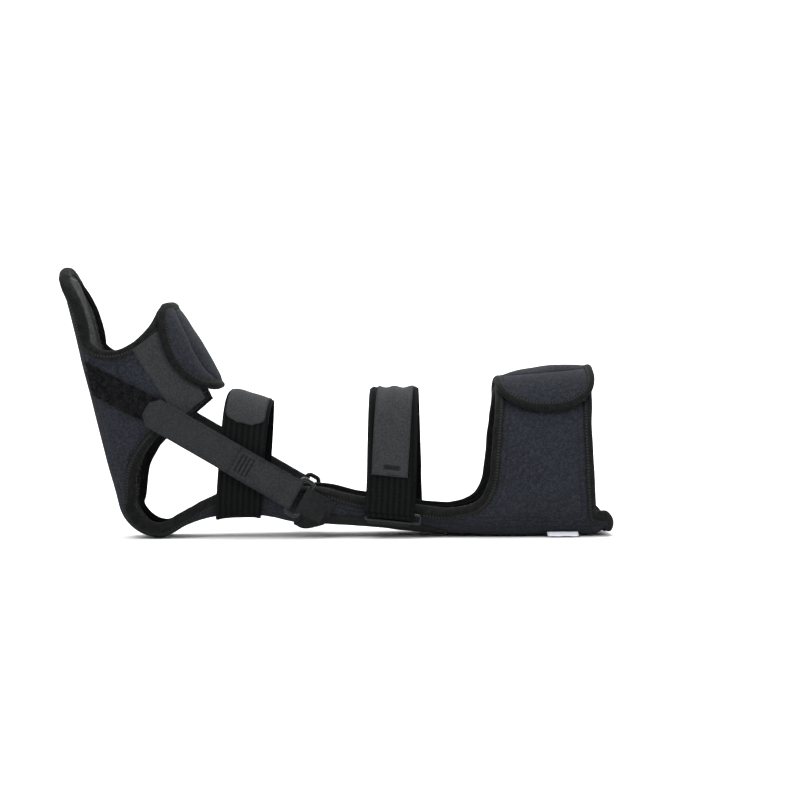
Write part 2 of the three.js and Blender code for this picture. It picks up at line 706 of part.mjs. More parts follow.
// Flat rings: a rounded frame with a slot, lying in its own plane
function ringSolid(reach, length, bar) {
  const outline = (shape, x, y, radius) => {
    shape.moveTo(-x + radius, -y);
    shape.lineTo(x - radius, -y);
    shape.absarc(x - radius, -y + radius, radius, -Math.PI / 2, 0);
    shape.absarc(x - radius, y - radius, radius, 0, Math.PI / 2);
    shape.absarc(-x + radius, y - radius, radius, Math.PI / 2, Math.PI);
    shape.absarc(-x + radius, -y + radius, radius, Math.PI, Math.PI * 1.5);
    return shape;
  };
  const bevel = bar / 5;
  const shape = outline(new THREE.Shape(), reach / 2 - bevel, length / 2 - bevel, bar * 0.8);
  shape.holes.push(outline(new THREE.Path(), reach / 2 - bar + bevel, length / 2 - bar + bevel, bar * 0.3));
  const geometry = new THREE.ExtrudeGeometry(shape, {
    depth: bar - 2 * bevel,
    bevelEnabled: true,
    bevelThickness: bevel,
    bevelSize: bevel,
    bevelOffset: 0,
    bevelSegments: 1,
    curveSegments: 1,
  });
  return geometry.translate(0, 0, -bar / 2 + bevel);
}

// A strap folded round a ring's bar: a flat tail and an eye, drawn in the strap's edge view and cut to its width
const EYE_SIDES = 10;
function eyeStrap(length, width, wall, hole) {
  const rim = hole + wall * 0.75;
  const shape = new THREE.Shape();
  const start = Math.asin(wall / 2 / rim);
  shape.moveTo(-length, -wall / 2);
  shape.lineTo(-rim * Math.cos(start), -rim * Math.sin(start));
  for (let i = 1; i < EYE_SIDES; i += 1) {
    const angle = -Math.PI + start + ((2 * Math.PI - 2 * start) * i) / EYE_SIDES;
    shape.lineTo(rim * Math.cos(angle), rim * Math.sin(angle));
  }
  shape.lineTo(-rim * Math.cos(start), rim * Math.sin(start));
  shape.lineTo(-length, wall / 2);
  shape.holes.push(new THREE.Path().absarc(0, 0, hole, 0, Math.PI * 2));
  const geometry = new THREE.ExtrudeGeometry(shape, { depth: width, bevelEnabled: false, curveSegments: 5 });
  return geometry.translate(0, 0, -width / 2);
}

// Places a flat piece in side view: its x runs down the tension strap, its y points outwards from the near side
const slope = radians(TENSION_SLOPE);
const RING_AT = 0.3655;
const RING_HIGH = 34;
const ringSeat = new THREE.Vector3(RING_AT * LEG_LENGTH, 0, RING_HIGH);
const footHalf = halfAt(-loopStripCorners[1][0] * SOLE_LENGTH);
const strapDepth = Math.max(
  footHalf + SEAT + PILE_WALL + GAP + TENSION_WALL / 2,
  halfAt(RING_AT * LEG_LENGTH) + TAPE_PROUD + SEAT + RING_BAR / 2,
);
function tensionFrame(along, side) {
  const down = new THREE.Vector3(Math.cos(slope), 0, -Math.sin(slope));
  const out = new THREE.Vector3(0, side, 0);
  const matrix = new THREE.Matrix4().makeBasis(down, out, new THREE.Vector3().crossVectors(down, out));
  const place = ringSeat.clone().addScaledVector(down, along);
  place.y = side * strapDepth;
  return matrix.setPosition(place);
}

const barPlace = RING_REACH / 2 - RING_BAR / 2;
const eyeHole = RING_BAR * 0.62 + GAP;
const ANCHOR_TONGUE = 17;
const ANCHOR_LOW = 7;
const ANCHOR_HIGH = 27;
const anchorSeat = 0.413 * LEG_LENGTH;
const anchorDepth = Math.abs(wrap(anchorSeat, -girthAt(anchorSeat, ANCHOR_HIGH - 3), bandInside + TENSION_WALL / 2).y);
const anchorTilt = Math.asin((strapDepth - anchorDepth) / ANCHOR_TONGUE);
for (const { side, label } of sides) {
  strip(`loop_strip_${label}`, loopStripCorners, SEAT, PILE_WALL, side, materials.elastic);
  strip(`hook_patch_${label}`, hookPatchCorners, SEAT, PATCH_WALL - 0.1, side, materials.grey);

  const ring = ringSolid(RING_REACH, TENSION_WIDTH + 2 * RING_BAR + 2, RING_BAR);
  ring.rotateX(Math.PI / 2);
  add(`tension_ring_${label}`, ring.applyMatrix4(tensionFrame(0, side)), materials.plastic);

  const plan = new THREE.Shape();
  const round = TENSION_WIDTH / 2;
  plan.moveTo(eyeHole * 3, -round);
  plan.lineTo(eyeHole * 3, round);
  plan.lineTo(round - TENSION_LENGTH, round);
  plan.absarc(round - TENSION_LENGTH, 0, round, Math.PI / 2, Math.PI * 1.5);
  const cutter = new THREE.ExtrudeGeometry(plan, { depth: 4 * round, bevelEnabled: false, curveSegments: 6 });
  cutter.translate(0, 0, -2 * round).rotateX(Math.PI / 2);
  const strap = toManifold(eyeStrap(TENSION_LENGTH, TENSION_WIDTH + 2, TENSION_WALL, eyeHole));
  const strapGeometry = fromManifold(strap.intersect(toManifold(cutter)));
  add(`tension_strap_${label}`, strapGeometry.applyMatrix4(tensionFrame(-barPlace, side)), materials.grey);

  // The ring's anchor: an eye on the upper bar, a tongue on the gutter's wall and a fold under the gutter
  const eye = eyeStrap(ANCHOR_TONGUE, TENSION_WIDTH - 3, TENSION_WALL, eyeHole);
  eye.rotateY(Math.PI).rotateZ(-anchorTilt);
  const at = (share) => share * LEG_LENGTH;
  const patch = (from, to, low, high, wall) =>
    panelSolid(3, 4, (i, j, layer) => {
      const station = lerp(at(from), at(to), i / 3);
      const girth = lerp(low(station), high(station), j / 4);
      return wrap(station, side * girth, bandInside + (layer ? wall : 0));
    });
  const wallLow = (station) => girthAt(station, ANCHOR_LOW);
  const wallHigh = (station) => girthAt(station, ANCHOR_HIGH);
  const tongue = patch(0.385, 0.442, wallLow, wallHigh, TENSION_WALL);
  const fold = patch(0.355, 0.41, () => ANCHOR_LOW / 2, (station) => girthAt(station, ANCHOR_LOW + 5), TENSION_WALL * 1.8);
  const anchor = joined(eye.applyMatrix4(tensionFrame(barPlace, side)), tongue, fold);
  add(`ring_anchor_${label}`, anchor, materials.tape);
}

// Shin strap: an elastic band whose near end folds round the upper bar of its slim ring
const shinRingStation = SHIN_AT * LEG_LENGTH + 3;
const shinRingLength = SHIN_STRAP_WIDTH + 2 * SHIN_RING_BAR + 2;
const shinEyeHole = SHIN_RING_BAR * 0.62 + GAP;
const shinRingDepth = halfAt(shinRingStation) + bandInside + ELASTIC_WALL / 2;
const SHIN_RING_RISE = 11;
const shinRingHigh = offAt(shinRingStation) + SHIN_RING_RISE;
const shinBars = SHIN_RING_REACH / 2 - SHIN_RING_BAR / 2;
const shinRing = ringSolid(shinRingLength, SHIN_RING_REACH, SHIN_RING_BAR);
shinRing.rotateX(Math.PI / 2).translate(shinRingStation, -shinRingDepth, shinRingHigh);
add("shin_ring", shinRing, materials.plastic);

function shinEye(length, width, tilt, high) {
  const eye = eyeStrap(length, width, ELASTIC_WALL, shinEyeHole);
  eye.rotateY(Math.PI / 2).rotateX(tilt);
  return eye.translate(shinRingStation, -shinRingDepth, high);
}
const SHIN_TAIL = 26;
const shinBand = openBand(SHIN_AT, SHIN_LEAN, SHIN_STRAP_WIDTH, -0.42, -1.9, bandInside, ELASTIC_WALL, 26);
const shinTail = shinEye(SHIN_TAIL, SHIN_STRAP_WIDTH - 2, 0, shinRingHigh + shinBars);
add("shin_strap", joined(shinBand, shinTail), materials.elastic);

// The ring's webbing: a fold under the gutter and an eye whose tail runs to the fold's end
const SHIN_FOLD_END = -0.2;
const shinFold = openBand(SHIN_AT, SHIN_LEAN, SHIN_STRAP_WIDTH - 4, -0.02, SHIN_FOLD_END, bandInside, ELASTIC_WALL, 8);
const foldEnd = bandPoint(SHIN_AT, SHIN_LEAN, SHIN_STRAP_WIDTH, SHIN_FOLD_END, 1, bandInside + ELASTIC_WALL);
const toFold = [foldEnd.y + shinRingDepth, foldEnd.z - (shinRingHigh - shinBars)];
const foldTilt = Math.atan2(-toFold[0], toFold[1]);
const shinWeb = shinEye(Math.hypot(...toFold) + 1, SHIN_STRAP_WIDTH - 6, foldTilt, shinRingHigh - shinBars);
add("shin_anchor", joined(shinFold, shinWeb), materials.tape);

// Care label: a small blank tag sewn low on the near side, its free edge just above the floor
const labelRise = 4.5;
const labelReach = 7;
add(
  "care_label",
  panelSolid(2, 2, (i, j, layer) => {
    const station = 0.877 * LEG_LENGTH + (LABEL_LENGTH * i) / 2;
    const sewn = wrap(station, -girthAt(station, labelRise), 2 * SEAT);
    const drop = (sewn.z - GAP - LABEL_WALL) * (j / 2);
    return sewn.add(new THREE.Vector3(0, (-labelReach * j) / 2, (layer ? LABEL_WALL : 0) - drop));
  }),
  materials.label,
);

splint.updateMatrixWorld(true);
const box = new THREE.Box3().setFromObject(splint);
splint.position.set(-(box.min.x + box.max.x) / 2, -(box.min.y + box.max.y) / 2, -box.min.z);

export default splint;
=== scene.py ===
"""A night splint for the sole of the foot: padded shell, sewn edge tapes, padded flaps, straps and rings.

The cloth is laid out on a pattern, as a maker cuts it, and wrapped round the form in millimetres. A point
of the pattern has a station along the splint, a girth round it and an offset outwards from the shell's
outer face.
"""

import math
from bisect import bisect_right
from functools import lru_cache

import bmesh
import bpy
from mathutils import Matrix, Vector, noise


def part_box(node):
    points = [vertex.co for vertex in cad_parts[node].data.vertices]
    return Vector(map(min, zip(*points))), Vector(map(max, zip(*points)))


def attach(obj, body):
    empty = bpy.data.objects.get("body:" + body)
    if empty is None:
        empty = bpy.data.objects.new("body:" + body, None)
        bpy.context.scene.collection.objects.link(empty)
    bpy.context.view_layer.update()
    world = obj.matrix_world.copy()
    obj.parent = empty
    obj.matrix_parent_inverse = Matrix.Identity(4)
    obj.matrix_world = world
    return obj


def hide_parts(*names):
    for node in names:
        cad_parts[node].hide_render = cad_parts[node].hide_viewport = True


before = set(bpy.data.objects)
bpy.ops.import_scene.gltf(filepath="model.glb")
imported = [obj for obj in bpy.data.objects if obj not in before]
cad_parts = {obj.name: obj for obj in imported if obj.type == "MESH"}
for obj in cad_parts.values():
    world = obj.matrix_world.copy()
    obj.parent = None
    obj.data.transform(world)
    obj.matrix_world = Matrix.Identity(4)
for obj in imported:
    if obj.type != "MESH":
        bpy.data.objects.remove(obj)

bl_info = {
    "name": "Night Splint",
    "version": (1, 0, 0),
    "blender": (4, 5, 0),
    "location": "3D View > Sidebar > Splint",
    "description": "Builds the soft pieces of a night splint over its CAD frame",
    "category": "Add Mesh",
}

MM = 0.001

# Driving sizes of the form, in millimetres
SOLE_LENGTH = 224
SOLE_LEAN = 14.4
LEG_LENGTH = 391
HEEL_RADIUS = 36
ANKLE_LIFT = 18.5
FOOT_WIDTH = 92
INSTEP_HEIGHT = 100
CALF_WIDTH = 112
CALF_HEIGHT = 133
GUTTER_WALL = 7
WING_WALL = 5
TOE_ROUND = 34
CALF_ROUND = 14
EDGE_HEIGHT = 100
BELLY_SHARE = 0.4
LOWER_POWER = 2.7
UPPER_POWER = 2.15
SECTION_STEPS = 64

# Side profile of the sole from the toe down: shares of its length, of the gutter's wall, of the foot's
# half width and of the instep's height, and how flat the base is
SOLE_ROWS = [
    (1.0, 0.3, 0.93, 0.64, 0.62),
    (0.92, 0.42, 0.97, 0.7, 0.62),
    (0.79, 0.45, 1.0, 0.77, 0.6),
    (0.72, 0.4, 1.0, 0.82, 0.6),
    (0.63, 0.3, 0.97, 0.89, 0.58),
    (0.56, 0.2, 0.94, 0.94, 0.57),
    (0.48, 0.12, 0.9, 0.99, 0.56),
    (0.42, 0.06, 0.87, 1.02, 0.55),
    (0.27, 0, 0.79, 0.98, 0.53),
]

# Side profile of the leg from the heel on: shares of its length, of the ankle's lift, of the calf's half
# width and of the calf's height, and how flat the base is
LEG_ROWS = [
    (0.0864, 0.12, 0.6, 0.7, 0.5),
    (0.109, 0.41, 0.6, 0.71, 0.5),
    (0.136, 0.67, 0.605, 0.72, 0.48),
    (0.162, 0.84, 0.615, 0.73, 0.45),
    (0.189, 0.935, 0.625, 0.745, 0.42),
    (0.225, 1.0, 0.64, 0.752, 0.38),
    (0.269, 0.98, 0.655, 0.718, 0.34),
    (0.307, 0.86, 0.67, 0.7, 0.32),
    (0.337, 0.69, 0.69, 0.715, 0.3),
    (0.36, 0.61, 0.705, 0.73, 0.3),
    (0.41, 0.6, 0.73, 0.765, 0.3),
    (0.512, 0.47, 0.78, 0.832, 0.3),
    (0.58, 0.3, 0.82, 0.85, 0.3),
    (0.65, 0.18, 0.88, 0.875, 0.3),
    (0.718, 0.1, 0.94, 0.91, 0.3),
    (0.772, 0, 0.97, 0.935, 0.3),
    (0.85, 0, 1.0, 0.975, 0.3),
    (0.955, 0, 1.0, 1.0, 0.3),
    (0.985, 0.08, 1.0, 1.0, 0.3),
    (1.0, 0.2, 0.99, 1.0, 0.3),
]

# Height of the gutter panel's own edge as a share of EDGE_HEIGHT, at shares of the sole's length before
# the heel and of the leg's length after it
EDGE_ROWS = [
    (-1.0, 0.04),
    (-0.1, 0.04),
    (0.05, 0.03),
    (0.13, 0.03),
    (0.165, 0.06),
    (0.2, 0.1),
    (0.25, 0.16),
    (0.31, 0.22),
    (0.4, 0.24),
    (0.47, 0.17),
    (0.61, 0.135),
    (0.668, 0.12),
    (1.0, 0.12),
]

# Finished edges of the foot wall from the gutter up: its rear edge and that edge's height, then its front
# edge and that edge's height, as shares of the sole's length and of the instep's height
FOOT_WING_ROWS = [
    (0.08, 0.044, 0.765, 0.044),
    (0.1, 0.1, 0.735, 0.09),
    (0.13, 0.15, 0.705, 0.135),
    (0.175, 0.18, 0.687, 0.19),
    (0.22, 0.215, 0.677, 0.25),
    (0.26, 0.275, 0.672, 0.32),
    (0.295, 0.36, 0.675, 0.41),
    (0.33, 0.47, 0.688, 0.5),
    (0.362, 0.6, 0.708, 0.58),
    (0.392, 0.74, 0.733, 0.65),
    (0.428, 0.92, 0.808, 0.757),
]

# Finished edges of the calf wall from the gutter up: its front edge, its back edge and the height of both,
# as shares of the leg's length and of the calf's height
CALF_WING_ROWS = [
    (0.67, 0.977, 0.0935),
    (0.673, 0.977, 0.143),
    (0.706, 0.977, 0.166),
    (0.729, 0.976, 0.2),
    (0.745, 0.975, 0.26),
    (0.755, 0.973, 0.34),
    (0.76, 0.972, 0.44),
    (0.762, 0.971, 0.55),
    (0.766, 0.97, 0.66),
    (0.77, 0.971, 0.77),
    (0.775, 0.976, 0.935),
]

# Lower edge of each flap on the near side: its place along the flap and its share of the section's height
INSTEP_FLAP_ROWS = [
    (0, 0.93),
    (0.05, 0.9),
    (0.12, 0.845),
    (0.2, 0.785),
    (0.325, 0.75),
    (0.44, 0.74),
    (0.59, 0.765),
    (0.74, 0.8),
    (0.84, 0.835),
    (0.94, 0.88),
    (1.0, 0.92),
]
CALF_FLAP_ROWS = [
    (0, 0.96),
    (0.05, 0.92),
    (0.147, 0.84),
    (0.294, 0.787),
    (0.49, 0.757),
    (0.687, 0.757),
    (0.886, 0.82),
    (0.985, 0.9),
    (1.0, 0.94),
]


def lerp(start, end, share):
    return start + (end - start) * share


def clamp(value, low=0.0, high=1.0):
    return min(max(value, low), high)


def smooth(points):
    """A smooth function through (place, value) points that never overshoots them."""
    places, values = zip(*points)
    slopes = [(v1 - v0) / (p1 - p0) for (p0, v0), (p1, v1) in zip(points, points[1:])]
    tangents = []
    for i in range(len(places)):
        before = slopes[max(i - 1, 0)]
        after = slopes[min(i, len(slopes) - 1)]
        tangents.append(0 if before * after <= 0 else 2 * before * after / (before + after))

    def value_at(place):
        place = clamp(place, places[0], places[-1])
        i = min(bisect_right(places, place), len(places) - 1) - 1
        span = places[i + 1] - places[i]
        t = (place - places[i]) / span
        rise = values[i + 1] - values[i]
        curve = tangents[i] * span
        curve_end = tangents[i + 1] * span
        cubic = curve + curve_end - 2 * rise
        return values[i] + curve * t + (3 * rise - 2 * curve - curve_end) * t**2 + cubic * t**3

    return value_at


# The form: sections along the splint, as the CAD frame has them
LEAN = math.radians(SOLE_LEAN)
HEEL_REACH = HEEL_RADIUS * math.tan((math.pi / 2 - LEAN) / 2)
FORM_ROWS = [
    (-up * SOLE_LENGTH, dent * GUTTER_WALL, wide * FOOT_WIDTH / 2, tall * INSTEP_HEIGHT, flat)
    for up, dent, wide, tall, flat in SOLE_ROWS
]
FORM_ROWS.append((-HEEL_REACH, 0, 0.37 * FOOT_WIDTH, 0.94 * INSTEP_HEIGHT, 0.52))
FORM_ROWS.append((HEEL_REACH, 0, 0.3 * CALF_WIDTH, 0.7 * CALF_HEIGHT, 0.5))
FORM_ROWS += [
    (along * LEG_LENGTH, lift * ANKLE_LIFT, wide * CALF_WIDTH / 2, tall * CALF_HEIGHT, flat)
    for along, lift, wide, tall, flat in LEG_ROWS
]
off_at, half_at, tall_at, flat_at = (smooth([(row[0], row[k]) for row in FORM_ROWS]) for k in range(1, 5))
edge_high = smooth(
    [(along * (SOLE_LENGTH if along < 0 else LEG_LENGTH), high * EDGE_HEIGHT) for along, high in EDGE_ROWS]
)

# The frame's own place: the gutter ends at the leg's full length, lies on the floor and is the same on both
# sides
gutter_low, gutter_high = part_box("padded_gutter")
SHIFT = Vector((gutter_high.x - LEG_LENGTH * MM, (gutter_low.y + gutter_high.y) / 2, gutter_low.z))


def spine(station):
    """The outer line of the splint in side view and the direction into the splint, at a station."""
    if station <= -HEEL_REACH:
        inward = (math.cos(LEAN), math.sin(LEAN))
        off = off_at(station)
        x = math.sin(LEAN) * station + inward[0] * off
        z = -math.cos(LEAN) * station + inward[1] * off
        return x, z, inward
    if station >= HEEL_REACH:
        return station, off_at(station), (0.0, 1.0)
    angle = lerp(LEAN, math.pi / 2, (station + HEEL_REACH) / (2 * HEEL_REACH))
    inward = (math.cos(angle), math.sin(angle))
    return HEEL_REACH - inward[0] * HEEL_RADIUS, HEEL_RADIUS - inward[1] * HEEL_RADIUS, inward


def section_point(half, tall, base, turn, offset):
    """One half of the form's section: a flat base, a squarish lower part and a rounder top."""
    if turn < 0:
        return base * (1 + turn), -offset
    lower = turn <= math.pi / 2
    power = 2 / (LOWER_POWER if lower else UPPER_POWER)
    sine = math.sin(turn) ** power
    cosine = abs(math.cos(turn)) ** power
    core = base * (1 if lower else (1 - math.cos(2 * turn)) / 2)
    belly = tall * BELLY_SHARE
    high = belly - (belly + offset) * cosine if lower else belly + (tall - belly + offset) * cosine
    return core + (half - core + offset) * sine, high


@lru_cache(maxsize=None)
def section(station):
    """Turns, girths and heights round one half of the section, and its three sizes."""
    half = half_at(station)
    tall = tall_at(station)
    base = half * flat_at(station)
    turns = [-1.0] + [math.pi * i / SECTION_STEPS for i in range(SECTION_STEPS + 1)]
    points = [section_point(half, tall, base, min(turn, math.pi - 1e-6), 0) for turn in turns]
    girths = [0.0]
    for (y0, z0), (y1, z1) in zip(points, points[1:]):
        girths.append(girths[-1] + math.hypot(y1 - y0, z1 - z0))
    return turns, girths, [high for _, high in points], (half, tall, base)


def look_up(keys, values, key):
    """The value at a key, between the two listed beside it."""
    i = clamp(bisect_right(keys, key) - 1, 0, len(keys) - 2)
    span = max(keys[i + 1] - keys[i], 1e-9)
    return lerp(values[i], values[i + 1], clamp((key - keys[i]) / span))


def half_girth(station):
    return section(station)[1][-1]


def girth_at(station, high):
    _, girths, highs, _ = section(station)
    return look_up(highs[1:], girths[1:], high)


def wrap(station, girth, offset):
    """A point of the pattern on the form, in metres in the frame. The near side has a negative girth."""
    turns, girths, _, sizes = section(station)
    limit = girths[-1]
    if girth > limit:
        girth -= 2 * limit
    if girth < -limit:
        girth += 2 * limit
    y, high = section_point(*sizes, look_up(girths, turns, abs(girth)), offset)
    x, z, inward = spine(station)
    point = Vector((x + inward[0] * high, math.copysign(y, girth), z + inward[1] * high))
    return point * MM + SHIFT


def on_form(station, girth, offset):
    """A pattern point for a cloth: its place and its chart, which are the pattern's own two lengths."""
    return wrap(station, girth, offset), (station, girth)


def ripple(station, girth, size, depth):
    """A soft unevenness of the cloth, the same on each run."""
    return depth * noise.noise(Vector((station / size, girth / size, 3.7)))


# Cloths, tubes and ribbons

FAR_FROM_EDGE = 99


def cloth(columns, rows, place, closed=False, thick=True):
    """A grid laid out by place(column, row, layer). Layer 0 is the inner face and layer 1 the outer one.

    Place gives a point, its chart and, where stitches follow the cloth's edge, its distance from that edge.
    """
    bm = bmesh.new()
    bmesh.ops.create_grid(bm, x_segments=columns, y_segments=rows, size=0.5)
    if thick:
        raised = bmesh.ops.extrude_face_region(bm, geom=bm.faces[:])["geom"]
        for vert in (item for item in raised if isinstance(item, bmesh.types.BMVert)):
            vert.co.z = 1
    if closed and thick:
        walls = [face for face in bm.faces if len({round(v.co.x, 5) for v in face.verts}) == 1]
        bmesh.ops.delete(bm, geom=walls, context="FACES")
    chart = bm.loops.layers.uv.new("pattern")
    lining = bm.verts.layers.float.new("lining")
    beside = bm.verts.layers.float.new("beside")
    charts = {}
    for vert in bm.verts:
        layer = round(vert.co.z)
        i, j = round((vert.co.x + 0.5) * columns), round((vert.co.y + 0.5) * rows)
        point, flat, *edge = place(i, j, layer)
        vert.co = point
        vert[beside] = (edge[0] if edge else FAR_FROM_EDGE) * MM
        vert[lining] = 1 - layer if thick else 0
        charts[vert] = Vector(flat) * MM
    for face in bm.faces:
        for loop in face.loops:
            loop[chart].uv = charts[loop.vert]
    return bm


def merge(bm, distance=0.02):
    bmesh.ops.remove_doubles(bm, verts=bm.verts[:], dist=distance * MM)
    return bm


def cap(bm):
    """Closes the open ends of a tube."""
    bmesh.ops.holes_fill(bm, edges=[edge for edge in bm.edges if edge.is_boundary], sides=0)
    return bm


def soften(bm, radius, segments=2):
    """Rounds the sharp edges of a cloth."""
    sharp = [edge for edge in bm.edges if edge.is_manifold and edge.calc_face_angle(0) > math.radians(50)]
    bmesh.ops.bevel(
        bm,
        geom=sharp,
        offset=radius * MM,
        offset_type="OFFSET",
        segments=segments,
        profile=0.5,
        affect="EDGES",
        material=-1,
        clamp_overlap=True,
    )
    return bm


def piece(name, bm, finish, replaced=(), levels=0):
    """A finished piece on the frame's root body, standing for the CAD nodes named."""
    if bm.calc_volume(signed=True) < 0:
        bmesh.ops.reverse_faces(bm, faces=bm.faces[:])
    mesh = bpy.data.meshes.new(name)
    bm.to_mesh(mesh)
    bm.free()
    mesh.shade_smooth()
    obj = bpy.data.objects.new(name, mesh)
    bpy.context.scene.collection.objects.link(obj)
    mesh.materials.append(finish)
    if levels:
        rounder = obj.modifiers.new("Rounder", "SUBSURF")
        rounder.levels = rounder.render_levels = levels
    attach(obj, "root")
    if replaced:
        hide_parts(*replaced)
    return obj


def lengths(points):
    """Distance along a line of points, at each of them."""
    run = [0.0]
    for a, b in zip(points, points[1:]):
        run.append(run[-1] + (Vector(b) - Vector(a)).length)
    return run


def outwards(path, middle):
    """Directions square to a wall's edge and away from its middle. The first runs along the gutter."""
    last = len(path) - 1
    ways = []
    for i, (station, girth) in enumerate(path):
        before, after = path[max(i - 1, 0)], path[min(i + 1, last)]
        square = Vector((after[1] - before[1], before[0] - after[0])).normalized()
        away = square if i else Vector((1.0, 0.0))
        if away.dot(Vector((station - middle[0], girth - middle[1]))) < 0:
            away.negate()
        ways.append(away)
    return ways


def move(path, ways, distance):
    """A path on the pattern, moved by a distance along its directions."""
    return [(s + way.x * distance, g + way.y * distance) for (s, g), way in zip(path, ways)]


def eased(path, spacing, passes, loop=False):
    """A path of (station, girth, wall) points laid out evenly, with its corners eased."""
    if loop:
        path = [*path, path[0]]
    run = lengths([point[:2] for point in path])
    steps = round(run[-1] / spacing)
    even = [
        Vector(look_up(run, [point[k] for point in path], run[-1] * i / steps) for k in range(3))
        for i in range(steps + (0 if loop else 1))
    ]
    count = len(even)
    fixed = () if loop else (0, count - 1)
    for _ in range(passes):
        even = [
            point if i in fixed else (even[i - 1] + 2 * point + even[(i + 1) % count]) / 4
            for i, point in enumerate(even)
        ]
    return even


def tape_section(width, half):
    """Corners (reach, rise) of the folded edge tape in section: hem, stitch groove, flat and rolled rim."""
    upper = [
        (-0.4, half - 1.3),
        (-0.3, half - 0.3),
        (0.3, half),
        (1.3, half),
        (1.8, half - 0.35),
        (2.4, half + 0.1),
        (width * 0.52, half + 0.35),
        (width * 0.72, half + 0.15),
        (width * 0.87, half * 0.72),
        (width * 0.97, half * 0.32),
    ]
    lower = [(reach, -rise) for reach, rise in reversed(upper)]
    return [*upper, (width, 0.0), *lower]


def tape(path, turn, outside, sizes, loop=False):
    """The folded edge tape along a panel's hem. Turn is 1 for a tape on the path's left and else -1."""
    section_half = [point[2] / 2 + sizes.tape_proud for point in path]
    corners = tape_section(sizes.tape_width, section_half[0])
    across = lengths([*corners, corners[0]])
    run = lengths([point[:2] for point in ([*path, path[0]] if loop else path)])
    count = len(path)

    def place(i, j, _):
        k = i % count
        station, girth, wall = path[k]
        before = path[k - 1 if loop else max(k - 1, 0)]
        after = path[(k + 1) % count if loop else min(k + 1, count - 1)]
        way = Vector((before[1] - after[1], after[0] - before[0])).normalized() * turn
        reach, rise = tape_section(sizes.tape_width, section_half[k])[j % len(corners)]
        pucker = 1 + 0.12 * math.sin(run[k] / 1.7) * noise.noise(Vector((run[k] / 23, 0.3, 8.1)))
        reach *= 1 + ripple(station, girth, 17, 0.12)
        point = wrap(station + way.x * reach, girth + way.y * reach, outside - wall / 2 + rise * pucker)
        return point, (run[i], across[j])

    bm = merge(cloth(count if loop else count - 1, len(corners), place, thick=False))
    return bm if loop else cap(bm)


# Shader maths


class Signal:
    """One output of a node. Arithmetic on it adds Math nodes to its finish."""

    def __init__(self, finish, socket):
        self.finish = finish
        self.socket = socket

    def maths(self, operation, *others):
        return self.finish.maths(operation, self, *others)

    def __add__(self, other):
        return self.maths("ADD", other)

    def __radd__(self, other):
        return self.maths("ADD", other)

    def __sub__(self, other):
        return self.maths("SUBTRACT", other)

    def __rsub__(self, other):
        return self.finish.maths("SUBTRACT", other, self)

    def __mul__(self, other):
        return self.maths("MULTIPLY", other)

    def __rmul__(self, other):
        return self.maths("MULTIPLY", other)

    def __truediv__(self, other):
        return self.maths("DIVIDE", other)


